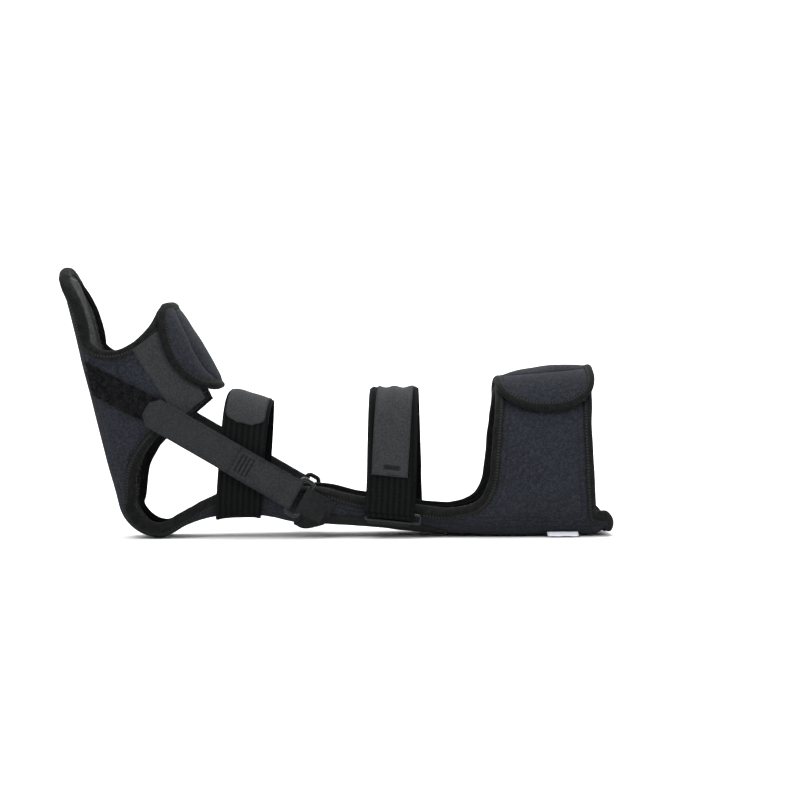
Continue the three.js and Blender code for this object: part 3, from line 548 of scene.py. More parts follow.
class Finish:
    """A material that is built up node by node."""

    def __init__(self, name, roughness=0.9, sheen=0.0, specular=0.12):
        self.material = bpy.data.materials.new(name)
        self.material.use_nodes = True
        self.tree = self.material.node_tree
        self.surface = self.tree.nodes["Principled BSDF"]
        self.surface.inputs["Roughness"].default_value = roughness
        self.surface.inputs["Sheen Weight"].default_value = sheen
        self.surface.inputs["Specular IOR Level"].default_value = specular

    def node(self, kind, inputs=(), output=0, **settings):
        """Any node: its settings first, then the values or links of its sockets."""
        node = self.tree.nodes.new(kind)
        for name, value in settings.items():
            setattr(node, name, value)
        for key, value in dict(inputs).items():
            self.feed(node.inputs[key], value)
        return Signal(self, node.outputs[output])

    def feed(self, socket, value):
        if isinstance(value, Signal):
            self.tree.links.new(value.socket, socket)
        else:
            socket.default_value = value

    def maths(self, operation, *values):
        return self.node("ShaderNodeMath", enumerate(values), operation=operation)

    def spread(self, value, low, high):
        """Value between low and high as a share from 0 to 1, eased."""
        inputs = {"Value": value, "From Min": low, "From Max": high}
        return self.node("ShaderNodeMapRange", inputs, interpolation_type="SMOOTHSTEP")

    def point(self):
        return self.node("ShaderNodeTexCoord", output="Object")

    def chart(self):
        """The two lengths of the pattern, in metres."""
        flat = self.node("ShaderNodeUVMap", uv_map="pattern")
        along = self.node("ShaderNodeSeparateXYZ", {0: flat}, output=0)
        across = self.node("ShaderNodeSeparateXYZ", {0: flat}, output=1)
        return along, across

    def grain(self, size, detail=2.0, roughness=0.5):
        """Noise with blobs of about that size, in millimetres."""
        inputs = {"Vector": self.point(), "Scale": 1 / (size * MM)}
        return self.node("ShaderNodeTexNoise", {**inputs, "Detail": detail, "Roughness": roughness})

    def ribs(self, length, pitch):
        """Ridges from 0 to 1 across a length in metres, at a pitch in millimetres."""
        return (length * (2 * math.pi / (pitch * MM))).maths("SINE") * 0.5 + 0.5

    def attribute(self, name):
        return self.node("ShaderNodeAttribute", output="Fac", attribute_name=name)

    def zigzag(self, along, beside, centre, height, pitch):
        """1 on a zigzag stitch beside the cloth's edge and 0 off it. Its sizes are in millimetres."""
        wave = (along / (pitch * MM)).maths("PINGPONG", 1.0) * (height * MM) + (centre - height / 2) * MM
        return 1 - self.spread((beside - wave).maths("ABSOLUTE"), 0.25 * MM, 0.5 * MM)

    def band(self, length, centre, width):
        """1 on a band of a length in metres, given in millimetres, and 0 off it."""
        off = (length - centre * MM).maths("ABSOLUTE")
        return 1 - self.spread(off, width * MM * 0.35, width * MM * 0.5)

    def mix(self, share, first, second):
        inputs = {0: share, 6: first, 7: second}
        return self.node("ShaderNodeMix", inputs, output=2, data_type="RGBA", clamp_factor=True)

    def colour(self, value):
        self.feed(self.surface.inputs["Base Color"], value)

    def rough(self, value):
        self.feed(self.surface.inputs["Roughness"], value)

    def relief(self, height, depth, strength=1.0):
        """Bumps as deep as depth, in millimetres, where the height goes from 0 to 1."""
        bump = self.node("ShaderNodeBump", {"Height": height, "Distance": depth * MM, "Strength": strength})
        self.feed(self.surface.inputs["Normal"], bump)


def shade(colour, factor=1.0):
    return (*(channel * factor for channel in colour), 1.0)


def shell_finish(colours):
    """Brushed fabric with a heathered face, and a looped grey lining with a zigzag seam beside its edge."""
    finish = Finish("brushed_shell", roughness=0.95, sheen=0.02)
    along, across = finish.chart()
    fleck = finish.grain(1.3, 3.0, 0.7)
    fuzz = finish.grain(2.6, 2.0, 0.6)
    cloud = finish.grain(45, 2.0, 0.5)
    weave = finish.ribs(along + across, 1.3) * finish.ribs(along - across, 1.3)
    heather = finish.spread(fleck * 0.65 + fuzz * 0.35, 0.4, 0.64)
    tone = finish.mix(heather * 0.75 + weave * 0.1, shade(colours.shell, 0.5), shade(colours.shell, 1.65))
    tone = finish.mix(finish.spread(cloud, 0.3, 0.75) * 0.2, tone, shade(colours.shell, 1.3))
    loops = finish.spread(finish.grain(2.0, 1.0, 0.4), 0.4, 0.62)
    beside = finish.attribute("beside")
    thread = finish.zigzag(along, beside, 3.6, 2.2, 1.6)
    inner = finish.mix(loops, shade(colours.lining, 0.5), shade(colours.lining, 1.25))
    inner = finish.mix(thread * 0.7, inner, shade(colours.thread))
    inside = finish.spread(finish.attribute("lining"), 0.3, 0.6)
    hem = finish.band(beside, HEM_LINE, 1.4) * 0.45
    finish.colour(finish.mix(inside, finish.mix(hem, tone, shade(colours.shell, 0.35)), inner))
    height = (1 - inside) * (weave * 0.4 + fleck * 0.7 - hem) + inside * (loops + thread)
    finish.relief(height + fuzz * 0.5, 0.4, 0.8)
    return finish.material


def tape_finish(colours):
    """Ribbed tape with a line of stitches beside each hem."""
    finish = Finish("ribbed_tape", roughness=0.85, sheen=0.02, specular=0.06)
    along, across = finish.chart()
    wear = finish.grain(4, 3.0, 0.65)
    ribs = finish.ribs(along, 1.7)
    dash = finish.spread((along / (2.5 * MM)).maths("FRACT"), 0.3, 0.45)
    stitch = finish.band(across, 3.2, 3.0) * dash
    share = ribs * 0.35 + finish.spread(wear, 0.35, 0.7) * 0.5
    tone = finish.mix(share, shade(colours.tape, 0.5), shade(colours.tape, 2.0))
    finish.colour(finish.mix(stitch * 0.55, tone, shade(colours.tape, 5.0)))
    finish.relief(ribs * 0.5 + stitch * 0.8 + wear * 0.6, 0.35, 0.9)
    return finish.material


def webbing_finish(colours):
    """Flat woven webbing for the ring loops."""
    finish = Finish("flat_webbing", roughness=0.85, sheen=0.02)
    along, across = finish.chart()
    weave = finish.ribs(along + across, 1.5) * finish.ribs(along - across, 1.5)
    wear = finish.grain(3, 3.0, 0.65)
    share = weave * 0.4 + finish.spread(wear, 0.35, 0.7) * 0.5
    finish.colour(finish.mix(share, shade(colours.webbing, 0.6), shade(colours.webbing, 1.5)))
    finish.relief(weave + wear * 0.4, 0.3, 0.8)
    return finish.material


def tack_mark(finish, along, across):
    """A bar tack across the tab near its end, which runs over its middle."""
    rungs = finish.ribs(across, 1.9) * 0.35 + 0.65
    return finish.band(along, 6, 4.2) * finish.band(across, SHIN_TAB[2] / 2 + 1.5, 15.5) * rungs


def block_mark(finish, along, across):
    """Rows of stitches in a square, where the folded end is sewn down."""
    rows = finish.spread(finish.ribs(along, 3.3), 0.6, 0.85)
    frame_lines = finish.band(across, 7.5, 1.2) + finish.band(across, -7.5, 1.2)
    return finish.band(along, 9, 15) * finish.band(across, 0, 17) * (rows * 0.9 + frame_lines)


def grey_finish(name, colour, mark=None):
    """Napped grey strap: a fine grid of fibres, with a stitched mark where it is sewn down."""
    finish = Finish(name, roughness=0.93, sheen=0.03)
    along, across = finish.chart()
    weave = finish.ribs(along, 1.7) * 0.5 + finish.ribs(across, 1.7) * 0.5
    nap = finish.grain(1.4, 3.0, 0.7)
    cloud = finish.grain(14, 2.0, 0.5)
    share = weave * 0.3 + finish.spread(nap, 0.38, 0.66) * 0.7
    tone = finish.mix(share, shade(colour, 0.5), shade(colour, 1.35))
    tone = finish.mix(finish.spread(cloud, 0.3, 0.7) * 0.25, tone, shade(colour, 1.3))
    height = weave * 0.5 + nap * 0.8
    if mark:
        sewn = mark(finish, along, across)
        tone = finish.mix(sewn, tone, shade(colour, 0.14))
        height = height - sewn * 1.2
    finish.colour(tone)
    finish.relief(height, 0.35, 0.8)
    return finish.material


def elastic_finish(colours):
    """Knitted elastic with broad soft ribs along its length."""
    finish = Finish("ribbed_elastic", roughness=0.92, sheen=0.01, specular=0.04)
    along, across = finish.chart()
    ribs = finish.ribs(across, 4.7)
    fine = finish.ribs(across, 1.2)
    knit = finish.ribs(along, 1.6)
    wear = finish.grain(5, 2.0, 0.6)
    share = ribs * 0.5 + fine * 0.1 + knit * 0.1 + wear * 0.3
    finish.colour(finish.mix(share, shade(colours.elastic, 0.3), shade(colours.elastic, 2.0)))
    finish.relief(ribs + fine * 0.3 + knit * 0.3, 0.5, 0.8)
    return finish.material


def pile_finish(colours):
    """Fuzzy loop pile."""
    finish = Finish("fuzzy_pile", roughness=0.98, sheen=0.03, specular=0.05)
    loops = finish.grain(1.8, 3.0, 0.75)
    tufts = finish.grain(5, 2.0, 0.6)
    share = finish.spread(loops * 0.6 + tufts * 0.4, 0.4, 0.64)
    finish.colour(finish.mix(share, shade(colours.pile, 0.3), shade(colours.pile, 2.4)))
    finish.relief(loops + tufts * 0.8, 1.2, 1.0)
    return finish.material


def plastic_finish(colours):
    """Moulded black plastic, with a soft unevenness in its gloss."""
    finish = Finish("moulded_black", roughness=0.3, specular=0.25)
    mottle = finish.grain(2.0, 2.0, 0.5)
    rub = finish.grain(9, 3.0, 0.6)
    finish.colour(finish.mix(mottle, shade(colours.plastic, 0.8), shade(colours.plastic, 1.5)))
    finish.rough(finish.node("ShaderNodeMapRange", {"Value": rub, "To Min": 0.16, "To Max": 0.34}))
    finish.relief(mottle, 0.05, 0.6)
    return finish.material


def label_finish(colours):
    """White woven ribbon, bare of any print."""
    finish = Finish("label_ribbon", roughness=0.6, sheen=0.1)
    along, across = finish.chart()
    weave = finish.ribs(along, 0.5) * finish.ribs(across, 0.5)
    finish.colour(finish.mix(weave * 0.6, shade(colours.label, 0.85), shade(colours.label, 1.0)))
    finish.relief(weave, 0.08, 0.6)
    return finish.material


# Gutter, walls and their tapes

UNDER_TAPE = 2
HEM_LINE = 5
TIP_SHARE = 0.3
CALF_TIP_SHARE = 0.9
CLOTH_PITCH = 3.6
TAPE_PITCH = 2.4
SIDES = ((-1, "near"), (1, "far"))


def round_share(distance, radius, least=TIP_SHARE):
    """Share of the width left at a distance from a rounded end."""
    inside = clamp(1 - distance / radius)
    return max(math.sqrt(1 - inside * inside), least)


def gutter_edge(station):
    """Girth of the gutter panel's own edge, drawn in at its two ends."""
    if station < 0:
        drawn = round_share(station + SOLE_LENGTH, TOE_ROUND)
    else:
        calf = round_share(LEG_LENGTH - station, CALF_ROUND)
        drawn = lerp(CALF_TIP_SHARE, 1, (calf - TIP_SHARE) / (1 - TIP_SHARE))
    return girth_at(station, edge_high(station)) * drawn


def end_stations(radius, steps):
    """Distances from a rounded end, closer together where it curves."""
    start = math.asin(TIP_SHARE)
    return [radius * (1 - math.cos(lerp(start, math.pi / 2, i / steps))) for i in range(steps + 1)]


def run_stations(start, end, pitch):
    """Even stations from a start to an end, about a pitch apart."""
    steps = max(round(abs(end - start) / pitch), 1)
    return [lerp(start, end, i / steps) for i in range(steps + 1)]


def pinch(distance, depth=1.1, reach=6.0):
    """How far a padded face is drawn in beside a seam at that distance."""
    return depth * math.exp(-((max(distance, 0) / reach) ** 2))


TOE_STATIONS = [-SOLE_LENGTH + distance for distance in [0, *end_stations(TOE_ROUND, 14)]]
CALF_STATIONS = [LEG_LENGTH - distance for distance in [0, *end_stations(CALF_ROUND, 8)]]


def build_gutter(finish):
    """The long shell from the toe end, down the sole, round the heel and along the leg."""
    stations = [-SOLE_LENGTH - UNDER_TAPE, *TOE_STATIONS]
    stations += run_stations(TOE_STATIONS[-1], CALF_STATIONS[-1], CLOTH_PITCH)[1:-1]
    stations += [*reversed(CALF_STATIONS), LEG_LENGTH + UNDER_TAPE]
    rows = 40

    def place(i, j, layer):
        station = stations[i]
        edge = gutter_edge(station)
        girth = lerp(-edge - UNDER_TAPE, edge + UNDER_TAPE, j / rows)
        beside = min(edge - abs(girth), station + SOLE_LENGTH, LEG_LENGTH - station)
        give = pinch(beside)
        if layer:
            offset = -give + ripple(station, girth, 26, 0.5)
        else:
            offset = -GUTTER_WALL + give + ripple(station, girth, 19, 0.9)
        return *on_form(station, girth, offset), beside

    bm = cloth(len(stations) - 1, rows, place)
    piece("shell", bm, finish, ["padded_gutter"], 1)


class Wall:
    """A padded wall of one side on the pattern, between its two finished edges.

    Where an edge has no tape, the cloth itself reaches out by bare_reach, after a blend over the rows.
    """

    rows = 44
    columns = 36
    bare_reach = 6.4
    bare_blend = 0.04

    def __init__(self, side, edges, width):
        self.side = side
        count = len(FOOT_WING_ROWS) - 1
        finished = []
        for station_at, high_at in edges:
            path = []
            for j in range(self.rows + 1):
                row = j * count / self.rows
                station = station_at(row)
                path.append((station, side * girth_at(station, high_at(row)) if j else self.seam(station)))
            finished.append(path)
        centre = self.rows * 2 // 5
        middle = [(finished[0][centre][k] + finished[1][centre][k]) / 2 for k in (0, 1)]
        self.ways = [outwards(path, middle) for path in finished]
        self.hems = [move(path, way, -width) for path, way in zip(finished, self.ways)]

    def seam(self, station):
        """Girth at which the wall is sewn to the gutter."""
        return self.side * (gutter_edge(station) + 0.3)

    def build(self, name, node, finish, bare_rear=1.1):
        """The wall's cloth. Its rear edge has no tape over the share of its rows past bare_rear."""

        def reach(j):
            bare = clamp((j / self.rows - bare_rear) / self.bare_blend)
            return UNDER_TAPE, lerp(UNDER_TAPE, self.bare_reach, bare)

        inner = []
        for k in (0, 1):
            edge = enumerate(zip(self.hems[k], self.ways[k]))
            inner.append([move([hem], [way], reach(j)[k])[0] for j, (hem, way) in edge])

        def place(i, j, layer):
            share = i / self.columns
            station = lerp(inner[0][j][0], inner[1][j][0], share)
            girth = lerp(inner[0][j][1], inner[1][j][1], share) if j else self.seam(station)
            width = abs(inner[1][j][0] - inner[0][j][0])
            beside = min(share, 1 - share) * width - UNDER_TAPE
            above = abs(girth) - abs(self.seam(station))
            give = max(pinch(beside), pinch(above, 1.3, 4.0))
            if layer:
                offset = -give + ripple(station, girth, 24, 1.2)
            else:
                offset = -WING_WALL + give + ripple(station, girth, 19, 0.9)
            return *on_form(station, girth, offset), min(beside, above)

        piece(name, cloth(self.columns, self.rows, place), finish, [node], 1)

    def hem(self, k, share=1.0):
        """The hem under the tape, from the gutter up, with the wall's thickness."""
        top = round(self.rows * share) + 1
        return [(station, girth, WING_WALL) for station, girth in self.hems[k][:top]]


def row_curve(rows, column, scale):
    """One column of a table as a smooth function of the row."""
    return smooth([(i, row[column] * scale) for i, row in enumerate(rows)])


HEEL_TAPE_SHARE = 0.8
CORNER_STEP = 2
RIM_PITCH = 3


def build_shell(sizes, finish, edging):
    """The gutter and its walls, with one tape round each opening: toe, heel and shin, and calf end."""
    build_gutter(finish)
    foot_edges = (
        (row_curve(FOOT_WING_ROWS, 2, -SOLE_LENGTH), row_curve(FOOT_WING_ROWS, 3, INSTEP_HEIGHT)),
        (row_curve(FOOT_WING_ROWS, 0, -SOLE_LENGTH), row_curve(FOOT_WING_ROWS, 1, INSTEP_HEIGHT)),
    )
    high = row_curve(CALF_WING_ROWS, 2, CALF_HEIGHT)
    calf_edges = (
        (row_curve(CALF_WING_ROWS, 0, LEG_LENGTH), high),
        (row_curve(CALF_WING_ROWS, 1, LEG_LENGTH), high),
    )
    foot = {side: Wall(side, foot_edges, sizes.tape_width) for side, _ in SIDES}
    calf = {side: Wall(side, calf_edges, sizes.tape_width) for side, _ in SIDES}
    for side, label in SIDES:
        foot[side].build(f"foot_wall_{label}", f"foot_wing_{label}", finish, HEEL_TAPE_SHARE)
        calf[side].build(f"calf_wall_{label}", f"calf_wing_{label}", finish)

    def rim(side, stations):
        """The gutter's own edge at some stations."""
        return [(station, side * gutter_edge(station), GUTTER_WALL) for station in stations]

    def across(tip):
        """The gutter's edge straight across one of its ends."""
        steps = 16
        edge = gutter_edge(tip)
        return [(tip, lerp(-edge, edge, i / steps), GUTTER_WALL) for i in range(1, steps)]

    def add_tape(name, path, turn, nodes):
        bm = tape(eased(path, TAPE_PITCH, 14), turn, 0, sizes)
        piece(name, bm, edging, nodes, 1)

    toe_start = foot[-1].hems[0][0][0] - CORNER_STEP
    toe = [*run_stations(toe_start, TOE_STATIONS[-1], RIM_PITCH), *reversed(TOE_STATIONS[1:-1])]
    path = [*reversed(foot[-1].hem(0)), *rim(-1, toe)]
    path += [*across(-SOLE_LENGTH), *rim(1, toe[::-1]), *foot[1].hem(0)]
    nodes = ["toe_binding", "foot_opening_binding_near", "foot_opening_binding_far"]
    add_tape("toe_tape", path, 1, nodes)

    calf_start = calf[-1].hems[1][0][0] + CORNER_STEP
    end = [*run_stations(calf_start, CALF_STATIONS[-1], RIM_PITCH), *reversed(CALF_STATIONS[1:-1])]
    path = [*reversed(calf[-1].hem(1)), *rim(-1, end)]
    path += [*across(LEG_LENGTH), *rim(1, end[::-1]), *calf[1].hem(1)]
    nodes = ["calf_end_binding", "calf_back_binding_near", "calf_back_binding_far"]
    add_tape("calf_end_tape", path, -1, nodes)

    for side, label in SIDES:
        start = foot[side].hems[1][0][0] + CORNER_STEP
        stop = calf[side].hems[0][0][0] - CORNER_STEP
        path = [*reversed(foot[side].hem(1, HEEL_TAPE_SHARE))]
        path += [*rim(side, run_stations(start, stop, RIM_PITCH)), *calf[side].hem(0)]
        nodes = [f"{name}_binding_{label}" for name in ("heel_opening", "gutter", "calf_front")]
        add_tape(f"side_tape_{label}", path, side, nodes)


# Padded flaps

FLAP_EDGE = 3.2
FLAP_LIFT = 1.9
FLAP_COLUMNS = 44
LOBE_ROWS = 20

# Each flap's two ends, the share of the section's height at its far edge, and its channels as shares of its
# girth
INSTEP_FLAP = ((-0.45 * SOLE_LENGTH, -0.803 * SOLE_LENGTH), 0.8, (0.24, 0.62))
CALF_FLAP = ((0.774 * LEG_LENGTH, 0.981 * LEG_LENGTH), 0.78, (1 / 3, 2 / 3))


def build_flap(sizes, name, layout, rows, finishes):
    """A padded flap sewn into lobes by channels, with a tape all round."""
    (start, end), far_high, channels = layout
    shell, edging = finishes
    edge = smooth(rows)
    ahead = math.copysign(1, end - start)

    def edge_girth(station, high):
        return girth_at(station, high * tall_at(station))

    def near_edge(station):
        return edge_girth(station, edge(clamp((station - start) / (end - start)))) + sizes.tape_width

    def far_edge(station):
        return 2 * half_girth(station) - edge_girth(station, far_high) - sizes.tape_width

    def spot(u, v, beyond=0.0):
        """A pattern point at shares of the flap, which can lie beyond its hem."""
        inset = sizes.tape_width - beyond
        station = lerp(start + ahead * inset, end - ahead * inset, u)
        return station, -lerp(near_edge(station) - beyond, far_edge(station) + beyond, v)

    lines = [0.0, *channels, 1.0]
    shares = [
        lerp(low, high, (1 - math.cos(math.pi * i / LOBE_ROWS)) / 2)
        for low, high in zip(lines, lines[1:])
        for i in range(LOBE_ROWS)
    ]
    shares.append(1.0)

    def pad(u, v):
        """How far the padding stands up between its seams."""
        k = clamp(bisect_right(lines, v) - 1, 0, len(lines) - 2)
        lobe = math.sin(math.pi * clamp((v - lines[k]) / (lines[k + 1] - lines[k]))) ** 0.36
        ends_in = math.sin(math.pi * clamp(u)) ** 0.3
        return lerp(FLAP_EDGE - 0.4, sizes.flap_pad, lobe * ends_in)

    def place(i, j, layer):
        u, v = i / FLAP_COLUMNS, shares[j]
        station, girth = spot(u, v, UNDER_TAPE)
        rise = pad(u, v) + ripple(station, girth, 15, 0.6) if layer else 0.4
        return on_form(station, girth, FLAP_LIFT + rise)

    bm = cloth(FLAP_COLUMNS, len(shares) - 1, place)
    pad_piece = piece(name, bm, shell, [name], 1)
    along, across = ([i / steps for i in range(steps)] for steps in (FLAP_COLUMNS, 56))
    path = [spot(u, 0) for u in along] + [spot(1, v) for v in across]
    path += [spot(1 - u, 1) for u in along] + [spot(0, 1 - v) for v in across]
    even = eased([(*point, FLAP_EDGE) for point in path], TAPE_PITCH, 18, loop=True)
    bm = tape(even, ahead, FLAP_LIFT + 0.8 + FLAP_EDGE, sizes, loop=True)
    piece(f"{name}_tape", bm, edging, [f"{name}_binding"], 1)


# Bands and tabs: their layers, then how they are pressed in below, puckered above and led off to a ring

ELASTIC_WALL = 1.8
TAB_WALL = 1.2
PILE_WALL = 2
PATCH_WALL = 0.9
BAND_INSIDE = 1.2
TAB_INSIDE = 3.4
SEAT = 0.4
LANDING = 24
SUNK = 1.6
SUNK_REACH = 0.22
PUCKER_REACH = 0.22
TAB_TIP_SHARE = 0.42

# Each band's place along the leg and how far it leans, as shares of the leg's length, and its width
ANKLE_BAND = (0.229, 0.031, 37)
SHIN_BAND = (0.5505, 0.0125, 39.5)
ANKLE_TAB = (0.229, 0.031, 32)
SHIN_TAB = (0.5382, 0.0298, 29)


def band_point(band, turn, across, offset):
    """A point of a band that leans; its turn is a share of half the girth, minus on the near side."""
    centre, leaning, width = band
    if turn > 1:
        turn -= 2
    station = (centre + leaning * abs(turn)) * LEG_LENGTH + (across - 0.5) * width
    return wrap(station, turn * half_girth(station), offset)


def build_band(name, band, turns, finish, slot, node, rounded=0, rolled=0, gathered=0, landing=None):
    """An elastic band or tab between two turns; a band of a whole turn is closed.

    Rounded is the length of a rounded first end. A rolled band's edges stand higher, and a gathered one is
    puckered at its top. Landing places its first end off the form.
    """
    centre, leaning, width = band
    inside, wall = (BAND_INSIDE, ELASTIC_WALL) if slot == "elastic" else (TAB_INSIDE, TAB_WALL)
    closed = turns[1] - turns[0] == 2
    steps, across = (160 if closed else 90), 18
    arc = half_girth(centre * LEG_LENGTH)

    def place(i, j, layer):
        turn = lerp(*turns, i / steps)
        run = abs(turn - turns[0]) * arc
        wide = round_share(run, rounded, TAB_TIP_SHARE) if rounded else 1.0
        share = 0.5 + (j / across - 0.5) * wide
        beside = min(share, 1 - share) * width
        roll = rolled * math.exp(-(((beside - 2.0) / 1.7) ** 2))
        bulge = 0.35 * math.sin(math.pi * j / across) + roll
        curl = ripple(turn * 90, j * 1.4, 13, 0.7)
        over_top = math.exp(-(((abs(turn) - 1) / PUCKER_REACH) ** 2))
        station = (centre + leaning) * LEG_LENGTH + (share - 0.5) * width
        curl += gathered * over_top * math.sin(station / 2.3)
        curl -= SUNK * clamp(1 - min(abs(turn), 2 - abs(turn)) / SUNK_REACH)
        point = band_point(band, turn, share, inside + (wall + bulge if layer else 0) + curl)
        if landing and run < LANDING:
            ease = run / LANDING
            point = landing(share, layer).lerp(point, ease * ease * (3 - 2 * ease))
        return point, (run, share * width)

    bm = cloth(steps, across, place, closed)
    if closed:
        merge(bm)
    piece(name, soften(bm, wall * 0.3), finish, [node])


# Straps, rings and their loops

TENSION_SLOPE = math.radians(30.5)
TENSION_LENGTH = 138
TENSION_WIDTH = 25
TENSION_WALL = 2
RING_AT = 0.3655 * LEG_LENGTH
RING_HIGH = 34
RING_REACH = 14
RING_BAR = 3
RING_BARS = RING_REACH / 2 - RING_BAR / 2
GAP = 0.3

# Corners of the fastener strips on a foot wall: shares of the sole's length and of the instep's height
LOOP_STRIP_CORNERS = ((0.66, 0.065), (0.455, 0.58), (0.4, 0.4), (0.535, 0.065))
HOOK_PATCH_CORNERS = ((0.657, 0.447), (0.374, 0.672), (0.424, 0.91), (0.715, 0.745))

STRAP_DEPTH = half_at(-LOOP_STRIP_CORNERS[1][0] * SOLE_LENGTH) + SEAT + PILE_WALL + GAP + TENSION_WALL / 2
DOWN = Vector((math.cos(TENSION_SLOPE), 0, -math.sin(TENSION_SLOPE)))
ASIDE = Vector((math.sin(TENSION_SLOPE), 0, math.cos(TENSION_SLOPE)))


def tension_point(along, out, across, side):
    """A point beside the tension strap: down it, outwards from it and across it."""
    point = Vector((RING_AT, side * (STRAP_DEPTH + out), RING_HIGH)) + DOWN * along + ASIDE * across
    return point * MM + SHIFT


def ribbon(path, width, wall, place, trim=None):
    """A strap along a path of (along, out) corners. Place puts (along, out, across) in space."""
    rows = 8
    run = lengths(path)
    count = len(path)

    def square(k):
        before, after = path[max(k - 1, 0)], path[min(k + 1, count - 1)]
        way = Vector((after[0] - before[0], after[1] - before[1])).normalized()
        return Vector((-way.y, way.x))

    def put(i, j, layer):
        across = (j / rows - 0.5) * width * (trim(run[i]) if trim else 1.0)
        off = square(i) * (wall / 2 * (1 if layer else -1))
        return place(path[i][0] + off.x, path[i][1] + off.y, across), (run[-1] - run[i], across)

    return soften(cloth(count - 1, rows, put), wall * 0.3)


EYE_STEPS = 14
BAR_SIDES = 10
RING_MERGE = 0.002


def eye(centre, radius, start, turn):
    """Corners round a bar, from one angle by a turn."""
    angles = [start + turn * i / EYE_STEPS for i in range(EYE_STEPS + 1)]
    return [(centre[0] + radius * math.cos(a), centre[1] + radius * math.sin(a)) for a in angles]


def line(start, end, steps):
    """Corners from a start up to an end, without the end itself."""
    return [(lerp(start[0], end[0], i / steps), lerp(start[1], end[1], i / steps)) for i in range(steps)]


def bar_section(wide, high):
    """Corners of a ring's bar in section, from its two half sizes."""
    angles = [math.tau * k / BAR_SIDES for k in range(BAR_SIDES)]
    return [(wide * math.cos(a), high * math.sin(a)) for a in angles]


def ring(outline, section):
    """A moulded ring. Its outline is a closed line of points with their ways outwards and upwards."""
    count, sides = len(outline), len(section)

    def place(i, j, _):
        point, out, up = outline[i % count]
        reach, rise = section[j % sides]
        return point + out * reach + up * rise, (i, j)

    return merge(cloth(count, sides, place, thick=False), RING_MERGE)


def rounded_frame(reach, length, radius, steps=6):
    """Corners of a rounded rectangle and the outward way at each of them."""
    corners = []
    for quarter in range(4):
        centre = ((1, 1), (-1, 1), (-1, -1), (1, -1))[quarter]
        for k in range(steps + 1):
            angle = math.pi / 2 * (quarter + k / steps)
            way = (math.cos(angle), math.sin(angle))
            x = centre[0] * (reach / 2 - radius) + way[0] * radius
            y = centre[1] * (length / 2 - radius) + way[1] * radius
            corners.append((x, y, way))
    return corners


def build_tension_rings(finish):
    """The rectangular rings, with bars a little wider than they are high."""
    bar = RING_BAR * MM / 2
    section = bar_section(bar * 1.4, bar * 1.15)
    for side, label in SIDES:
        outline = []
        for x, y, way in rounded_frame(RING_REACH - RING_BAR, TENSION_WIDTH + RING_BAR + 2, RING_BAR):
            here = tension_point(x, 0, y, side)
            out = (tension_point(x + way[0], 0, y + way[1], side) - here).normalized()
            outline.append((here, out, Vector((0, side, 0))))
        bm = ring(outline, section)
        piece(f"tension_loop_{label}", bm, finish, [f"tension_ring_{label}"], 1)


def build_tension_straps(sizes, finish):
    """Each strap lands on its loop strip, passes its ring and is folded back and sewn down on itself."""
    under, over = -TENSION_WALL / 4, TENSION_WALL / 4 * 1.3
    around = RING_BAR / 2 + 0.9
    parted, opened = -RING_BARS - 9, -RING_BARS - 2
    path = line((-RING_BARS - TENSION_LENGTH, under), (parted, under), 60)
    path += line((parted, under), (opened, -around), 6)
    path += eye((-RING_BARS, 0), around, -math.pi / 2 - 0.3, math.pi + 0.6)
    path += line((opened, around), (parted, over), 6)
    path += line((parted, over), (-sizes.fold_length, over), 30)

    def trim(run):
        return clamp(0.45 + 0.55 * run / 7)

    for side, label in SIDES:

        def place(along, out, across, side=side):
            return tension_point(along, out, across, side)

        bm = ribbon(path, TENSION_WIDTH, TENSION_WALL / 2, place, trim)
        piece(f"tension_band_{label}", bm, finish, [f"tension_strap_{label}"])


# Webbing that holds the rings, with places as shares of the leg's length: how far the loop tips, its
# gathered end with that end's height and bulge, and the base strip along the underside with its height
LOOP_TILT = math.radians(10)
LOOP_END = (0.3725, 0.414)
LOOP_END_HALF = 0.027
LOOP_END_HIGH = 20
LOOP_BULGE = (4.0, 0.7)
BASE_STRIP = (0.392, 0.67)
BASE_HIGH = (8.5, 3)


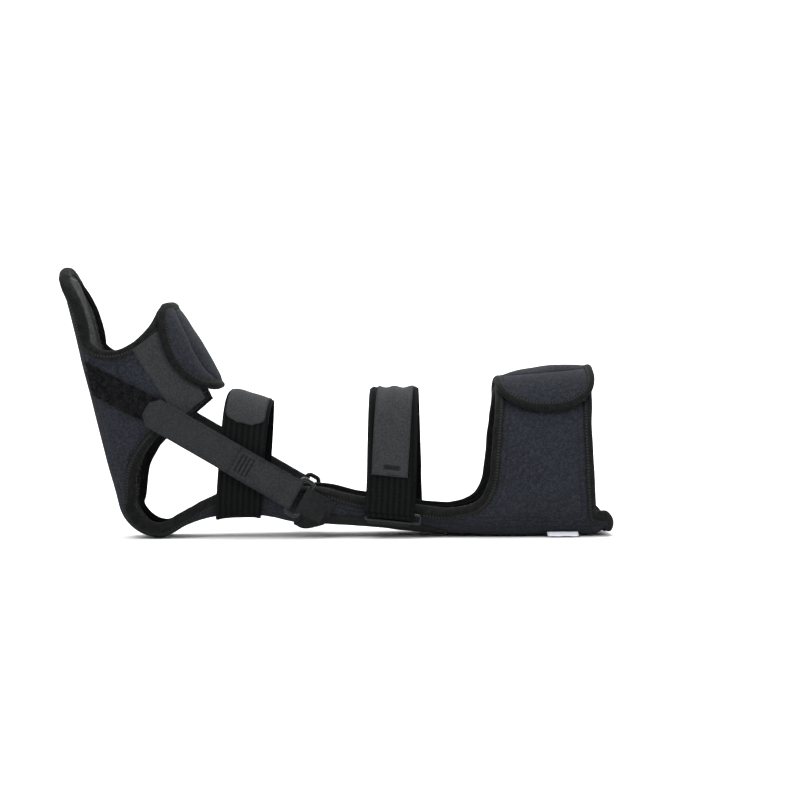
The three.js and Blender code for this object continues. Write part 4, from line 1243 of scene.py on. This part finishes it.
def build_ring_anchors(finish):
    """Webbing from under the gutter, up its wall and round the ring's lower bar, over a long base strip."""
    end_columns, end_rows = 16, 20
    base_columns, base_rows = 60, 12
    around = RING_BAR / 2 + 1.2
    path = line((24, -8), (9, -3.2), 8)
    path += line((9, -3.2), (2, -around), 4)
    path += eye((0, 0), around, -math.pi / 2 + 0.3, -math.pi - 0.6)
    path += line((2, around), (9, 0.6), 5)
    path += line((9, 0.6), (21, -2.6), 10)
    for side, label in SIDES:

        def place(along, out, across, side=side):
            turned = along * math.cos(LOOP_TILT) + out * math.sin(LOOP_TILT)
            raised = out * math.cos(LOOP_TILT) - along * math.sin(LOOP_TILT)
            return tension_point(RING_BARS + turned, raised, across, side)

        def end(i, j, layer, side=side):
            """The loop's gathered end, from under the gutter up."""
            share = j / end_rows
            aside = lerp(-LOOP_END_HALF, LOOP_END_HALF, i / end_columns)
            station = (lerp(*LOOP_END, share**1.5) + aside) * LEG_LENGTH
            girth = lerp(1, girth_at(station, LOOP_END_HIGH), share)
            bulge = lerp(*LOOP_BULGE, clamp(share * 1.5)) * math.sin(math.pi * i / end_columns)
            bulge += ripple(station, girth, 6, 0.8)
            return on_form(station, side * girth, BAND_INSIDE + (0.6 + bulge if layer else -1))

        def base(i, j, layer, side=side):
            """The base strip, which narrows over its last quarter."""
            share = i / base_columns
            station = lerp(*BASE_STRIP, share) * LEG_LENGTH
            girth = lerp(1, girth_at(station, lerp(*BASE_HIGH, clamp(4 * share - 3))), j / base_rows)
            offset = (0.9 if layer else -0.8) + ripple(station, girth, 11, 0.4)
            return on_form(station, side * girth, offset)

        kinds = (
            ("ring_loop", ribbon(path, TENSION_WIDTH - 3, TENSION_WALL * 0.6, place), 0),
            ("ring_loop_end", soften(cloth(end_columns, end_rows, end), 0.4), 1),
            ("base_strip", soften(cloth(base_columns, base_rows, base), 0.3), 0),
        )
        for name, bm, levels in kinds:
            piece(f"{name}_{label}", bm, finish, [f"ring_anchor_{label}"], levels)


def build_strip(node, name, corners, layers, grid, finish):
    """A four-cornered fastener strip on each foot wall. Layers are its wall and the depth of its tufts."""
    wall, tufts = layers
    along, across = grid
    a, b, c, d = [(-up * SOLE_LENGTH, high * INSTEP_HEIGHT) for up, high in corners]
    for side, label in SIDES:

        def place(i, j, layer, side=side):
            u, v = i / along, j / across
            station = lerp(lerp(a[0], b[0], u), lerp(d[0], c[0], u), v)
            high = lerp(lerp(a[1], b[1], u), lerp(d[1], c[1], u), v)
            girth = side * girth_at(station, high)
            tuft = ripple(station, girth, 1.7, tufts)
            return on_form(station, girth, SEAT + (wall + tuft if layer else -0.8))

        bm = soften(cloth(along, across, place), 0.3)
        piece(f"{name}_{label}", bm, finish, [f"{node}_{label}"])


# The shin strap's slim ring, which stands on the near side a little past the band's middle

SHIN_RING_REACH = 9
SHIN_RING_BAR = 2.4
SHIN_RING_PAST = 3
SHIN_RING_TILT = math.radians(6)
SHIN_RING_AT = SHIN_BAND[0] * LEG_LENGTH + SHIN_RING_PAST
SHIN_RING_DEPTH = half_at(SHIN_RING_AT) + BAND_INSIDE + ELASTIC_WALL / 2
SHIN_RING_HIGH = off_at(SHIN_RING_AT) + 11
SHIN_CENTRE = Vector((SHIN_RING_AT, -SHIN_RING_DEPTH, SHIN_RING_HIGH)) * MM + SHIFT
SHIN_BARS = SHIN_RING_REACH / 2 - SHIN_RING_BAR / 2
SHIN_LOOP = 3.2
SHIN_LOOP_AT = SHIN_BARS - 1
SHIN_END_WALL = 1.3


def shin_point(along, out, across):
    """A point beside the shin ring: up along the strap, outwards from it and across it."""
    right = across * math.cos(SHIN_RING_TILT) + along * math.sin(SHIN_RING_TILT)
    high = along * math.cos(SHIN_RING_TILT) - across * math.sin(SHIN_RING_TILT)
    return SHIN_CENTRE + Vector((right, -out, high)) * MM


def shin_strap_point(along, out, across):
    """The same point for the strap, whose middle the ring lies past."""
    return shin_point(along, out, across - SHIN_RING_PAST)


def shin_landing(share, layer):
    """Where the shin band meets its ring, at a share of its width."""
    out = SHIN_LOOP + SHIN_END_WALL / 2 * (1 if layer else -1)
    return shin_strap_point(SHIN_LOOP_AT, out, (share - 0.5) * SHIN_BAND[2])


def build_shin_ring(finish):
    """The slim ring at the shin strap's lower end."""
    bar = SHIN_RING_BAR * MM / 2
    length, reach = SHIN_BAND[2] + SHIN_RING_BAR + 2, SHIN_RING_REACH - SHIN_RING_BAR
    outline = []
    for x, y, way in rounded_frame(length, reach, 1.6, 5):
        here = shin_point(y, 0, x)
        out = (shin_point(y + way[1], 0, x + way[0]) - here).normalized()
        outline.append((here, out, Vector((0, -1, 0))))
    piece("shin_loop", ring(outline, bar_section(bar, bar)), finish, ["shin_ring"], 1)


def build_shin_strap(elastic, webbing):
    """The shin strap's end round its slim ring, and the short webbing that holds the ring."""
    path = line((SHIN_BARS + 14, -2.6), (SHIN_LOOP_AT + 2, -SHIN_LOOP), 8)
    path += eye((SHIN_LOOP_AT, 0), SHIN_LOOP, -math.pi / 2 + 0.2, -math.pi - 0.4)
    bm = ribbon(path, SHIN_BAND[2], SHIN_END_WALL, shin_strap_point)
    piece("shin_strap_end", bm, elastic, ["shin_strap"])

    lower, behind = -SHIN_BARS, -SHIN_RING_BAR / 2
    path = line((lower - 3.5, -14), (lower - 2, -4), 8)
    path += [*line((lower - 2, -4), (lower - 0.4, behind), 4), (lower, behind + 0.3)]
    bm = ribbon(path, SHIN_BAND[2] - 5, 1.8, shin_strap_point)
    piece("shin_loop_web", bm, webbing, ["shin_anchor"])


# The label: where it is sewn, its size, and the heights of its seam and its free edge

LABEL_START = 0.877 * LEG_LENGTH
LABEL_LENGTH = 25
LABEL_REACH = 7
LABEL_HIGH = 4.5
LABEL_LOW = 0.9
LABEL_WALL = 0.6


def build_label(finish):
    """A small blank ribbon tag sewn low on the near side, which hangs down to the floor."""
    columns, rows = 10, 8

    def place(i, j, layer):
        station = LABEL_START + LABEL_LENGTH * i / columns
        sewn = wrap(station, -girth_at(station, LABEL_HIGH), 2 * SEAT)
        share = j / rows
        drop = (sewn.z - LABEL_LOW * MM) * share
        wave = 0.4 * math.sin(math.tau * i / columns + share) * share
        rise = (LABEL_WALL if layer else 0) * MM - drop + abs(wave) * MM
        return sewn + Vector((0, -LABEL_REACH * share * MM, rise)), (station, share * LABEL_REACH)

    piece("blank_label", cloth(columns, rows, place), finish, ["care_label"])


# Sizes and colours that a user would change


def millimetres(name, about, default, least):
    about = f"{about} in millimetres"
    return bpy.props.FloatProperty(name=name, description=about, default=default, min=least)


def tint(name, about, default):
    return bpy.props.FloatVectorProperty(name=name, description=about, subtype="COLOR", default=default)


class SplintSizes(bpy.types.PropertyGroup):
    tape_width: millimetres("Tape width", "Width of the sewn edge tapes", 7.0, 3.0)
    tape_proud: millimetres("Tape rise", "Height of a tape over its panel", 0.8, 0.2)
    flap_pad: millimetres("Flap padding", "Thickness of the flaps' lobes", 6.8, 4.0)
    fold_length: millimetres("Strap fold", "Length of the tension strap's sewn-back end", 62.0, 20.0)


class SplintColours(bpy.types.PropertyGroup):
    shell: tint("Shell", "Brushed outer fabric", (0.0125, 0.0142, 0.0192))
    lining: tint("Lining", "Looped inner fabric", (0.022, 0.0225, 0.024))
    thread: tint("Thread", "Pale seam thread of the lining", (0.12, 0.12, 0.12))
    tape: tint("Tape", "Edge tape", (0.0046, 0.0049, 0.0048))
    webbing: tint("Webbing", "Webbing of the ring loops", (0.0088, 0.0093, 0.0098))
    grey: tint("Grey straps", "Tension straps, tabs and patches", (0.0205, 0.0218, 0.0235))
    elastic: tint("Elastic", "Elastic bands", (0.0031, 0.0033, 0.0034))
    pile: tint("Pile", "Fuzzy loop strips", (0.0036, 0.0037, 0.0042))
    plastic: tint("Rings", "Moulded rings", (0.0035, 0.0035, 0.0038))
    label: tint("Label", "Blank ribbon tag", (0.78, 0.81, 0.88))


FINISHES = {
    "brushed_shell": shell_finish,
    "ribbed_tape": tape_finish,
    "flat_webbing": webbing_finish,
    "ribbed_elastic": elastic_finish,
    "fuzzy_pile": pile_finish,
    "moulded_black": plastic_finish,
    "label_ribbon": label_finish,
}
GREY_FINISHES = {
    "napped_tab": (1.05, tack_mark),
    "napped_strap": (0.8, block_mark),
    "napped_hooks": (1.0, None),
}


def finish_for(context, name):
    """The named finish, made once and kept."""
    if name in bpy.data.materials:
        return bpy.data.materials[name]
    colours = context.scene.splint_colours
    if name in FINISHES:
        return FINISHES[name](colours)
    depth, mark = GREY_FINISHES[name]
    return grey_finish(name, [channel * depth for channel in colours.grey], mark)


class SPLINT_OT_shell(bpy.types.Operator):
    """Adds the padded gutter, the walls and their edge tapes"""

    bl_idname = "splint.shell"
    bl_label = "Padded Shell"

    def execute(self, context):
        sizes = context.scene.splint_sizes
        shell = finish_for(context, "brushed_shell")
        edging = finish_for(context, "ribbed_tape")
        build_shell(sizes, shell, edging)
        return {"FINISHED"}


class SPLINT_OT_flaps(bpy.types.Operator):
    """Adds the two padded flaps with their channels and tapes"""

    bl_idname = "splint.flaps"
    bl_label = "Padded Flaps"

    def execute(self, context):
        sizes = context.scene.splint_sizes
        finishes = finish_for(context, "brushed_shell"), finish_for(context, "ribbed_tape")
        build_flap(sizes, "instep_flap", INSTEP_FLAP, INSTEP_FLAP_ROWS, finishes)
        build_flap(sizes, "calf_flap", CALF_FLAP, CALF_FLAP_ROWS, finishes)
        return {"FINISHED"}


class SPLINT_OT_bands(bpy.types.Operator):
    """Adds the elastic bands round the ankle and the shin with their tabs"""

    bl_idname = "splint.bands"
    bl_label = "Elastic Bands"

    def execute(self, context):
        elastic = finish_for(context, "ribbed_elastic")
        ankle_tab = finish_for(context, "napped_hooks")
        shin_tab = finish_for(context, "napped_tab")
        build_band("ankle_band", ANKLE_BAND, (-1, 1), elastic, "elastic", "ankle_strap", rolled=0.5)
        build_band(
            "shin_band",
            SHIN_BAND,
            (-0.32, -1.9),
            elastic,
            "elastic",
            "shin_strap",
            rolled=1.4,
            gathered=0.8,
            landing=shin_landing,
        )
        ends = (-0.7, -1.03), (-0.455, -1.0)
        build_band("ankle_band_tab", ANKLE_TAB, ends[0], ankle_tab, "hook_fabric", "ankle_tab", rounded=9)
        build_band("shin_band_tab", SHIN_TAB, ends[1], shin_tab, "hook_fabric", "shin_tab", gathered=0.8)
        build_shin_ring(finish_for(context, "moulded_black"))
        build_shin_strap(elastic, finish_for(context, "flat_webbing"))
        return {"FINISHED"}


class SPLINT_OT_straps(bpy.types.Operator):
    """Adds the tension straps, their rings and loops, and the fastener strips"""

    bl_idname = "splint.straps"
    bl_label = "Tension Straps"

    def execute(self, context):
        build_tension_rings(finish_for(context, "moulded_black"))
        build_tension_straps(context.scene.splint_sizes, finish_for(context, "napped_strap"))
        build_ring_anchors(finish_for(context, "flat_webbing"))
        pile, hooks = finish_for(context, "fuzzy_pile"), finish_for(context, "napped_hooks")
        strip, patch = (PILE_WALL, 1.1), (PATCH_WALL, 0)
        build_strip("loop_strip", "pile_strip", LOOP_STRIP_CORNERS, strip, (48, 22), pile)
        build_strip("hook_patch", "grey_patch", HOOK_PATCH_CORNERS, patch, (40, 16), hooks)
        return {"FINISHED"}


class SPLINT_OT_label(bpy.types.Operator):
    """Adds the small blank label"""

    bl_idname = "splint.label"
    bl_label = "Blank Label"

    def execute(self, context):
        build_label(finish_for(context, "label_ribbon"))
        return {"FINISHED"}


class SPLINT_OT_stage(bpy.types.Operator):
    """Adds the floor, the lights and the camera"""

    bl_idname = "splint.stage"
    bl_label = "Studio"

    def execute(self, context):
        build_stage(context.scene)
        return {"FINISHED"}


OPERATORS = (
    SPLINT_OT_shell,
    SPLINT_OT_flaps,
    SPLINT_OT_bands,
    SPLINT_OT_straps,
    SPLINT_OT_label,
    SPLINT_OT_stage,
)


class SPLINT_PT_panel(bpy.types.Panel):
    """Lists the splint's pieces and its studio"""

    bl_label = "Night Splint"
    bl_idname = "SPLINT_PT_panel"
    bl_space_type = "VIEW_3D"
    bl_region_type = "UI"
    bl_category = "Splint"

    def draw(self, context):
        for group in (context.scene.splint_sizes, context.scene.splint_colours):
            for name in group.__annotations__:
                self.layout.prop(group, name)
        for operator in OPERATORS:
            self.layout.operator(operator.bl_idname)


# Studio

CAMERA_PLACE = (0.0536, -1.4, 0.112)
CAMERA_ROLL = 0.5
CAMERA_LENS = 75.6
CAMERA_SENSOR = 36
FLOOR_WIDTH = 8
FLOOR_FRONT = -2.4
FLOOR_BACK = 1.2
SWEEP_RADIUS = 0.5
SWEEP_STEPS = 8
SWEEP_TOP = 2.6
SKY_STRENGTH = 0.55

# Each light's name, place, target, size in metres and power in watts
LIGHTS = (
    ("key", (-0.9, -1.6, 1.7), (0.0, 0.0, 0.1), 1.4, 38),
    ("fill", (1.5, -1.3, 1.1), (0.0, 0.0, 0.1), 1.6, 22),
    ("top", (0.0, 0.2, 2.2), (0.0, 0.0, 0.1), 1.8, 56),
    ("back", (0.0, 1.0, 1.5), (0, 1.7, 0.6), 1.6, 20),
)


def add_light(scene, name, place, target, size, energy):
    """A square light that faces its target."""
    data = bpy.data.lights.new(name, "AREA")
    data.shape = "SQUARE"
    data.size = size
    data.energy = energy
    lamp = bpy.data.objects.new(name, data)
    scene.collection.objects.link(lamp)
    lamp.location = place
    lamp.rotation_euler = (Vector(target) - Vector(place)).to_track_quat("-Z", "Y").to_euler()


def build_floor(scene):
    """A pale floor that sweeps up behind the splint."""
    bm = bmesh.new()
    profile = [(FLOOR_FRONT, 0.0), (FLOOR_BACK, 0.0)]
    for k in range(1, SWEEP_STEPS + 1):
        angle = math.pi / 2 / SWEEP_STEPS * k
        rise = SWEEP_RADIUS - SWEEP_RADIUS * math.cos(angle)
        profile.append((FLOOR_BACK + SWEEP_RADIUS * math.sin(angle), rise))
    profile.append((FLOOR_BACK + SWEEP_RADIUS, SWEEP_TOP))
    steps = len(profile) - 1
    bmesh.ops.create_grid(bm, x_segments=1, y_segments=steps, size=0.5)
    for vert in bm.verts:
        y, z = profile[round((vert.co.y + 0.5) * steps)]
        vert.co = (vert.co.x * FLOOR_WIDTH, y, z)
    mesh = bpy.data.meshes.new("sweep")
    bm.to_mesh(mesh)
    bm.free()
    mesh.shade_smooth()
    floor = bpy.data.objects.new("sweep", mesh)
    scene.collection.objects.link(floor)
    paper = Finish("pale_paper", roughness=0.9)
    paper.colour(paper.mix(paper.grain(40, 3.0, 0.6), (0.86, 0.86, 0.86, 1.0), (0.9, 0.9, 0.9, 1.0)))
    mesh.materials.append(paper.material)


def build_stage(scene):
    """The floor, soft lights and the camera at the photograph's angle."""
    build_floor(scene)
    for light in LIGHTS:
        add_light(scene, *light)
    scene.view_settings.view_transform = "Standard"
    world = bpy.data.worlds.new("studio")
    world.use_nodes = True
    world.node_tree.nodes["Background"].inputs["Color"].default_value = (1.0, 1.0, 1.0, 1.0)
    world.node_tree.nodes["Background"].inputs["Strength"].default_value = SKY_STRENGTH
    scene.world = world

    data = bpy.data.cameras.new("camera")
    data.lens = CAMERA_LENS
    data.sensor_width = CAMERA_SENSOR
    camera = bpy.data.objects.new("camera", data)
    scene.collection.objects.link(camera)
    camera.location = CAMERA_PLACE
    camera.rotation_euler = (math.pi / 2, math.radians(CAMERA_ROLL), 0)
    scene.camera = camera


CLASSES = (SplintSizes, SplintColours, *OPERATORS, SPLINT_PT_panel)


def register():
    for cls in CLASSES:
        bpy.utils.register_class(cls)
    bpy.types.Scene.splint_sizes = bpy.props.PointerProperty(type=SplintSizes)
    bpy.types.Scene.splint_colours = bpy.props.PointerProperty(type=SplintColours)


def unregister():
    del bpy.types.Scene.splint_colours
    del bpy.types.Scene.splint_sizes
    for cls in reversed(CLASSES):
        bpy.utils.unregister_class(cls)


def main():
    register()
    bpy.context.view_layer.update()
    for operator in OPERATORS:
        group, name = operator.bl_idname.split(".")
        getattr(getattr(bpy.ops, group), name)()


if __name__ == "__main__":
    main()
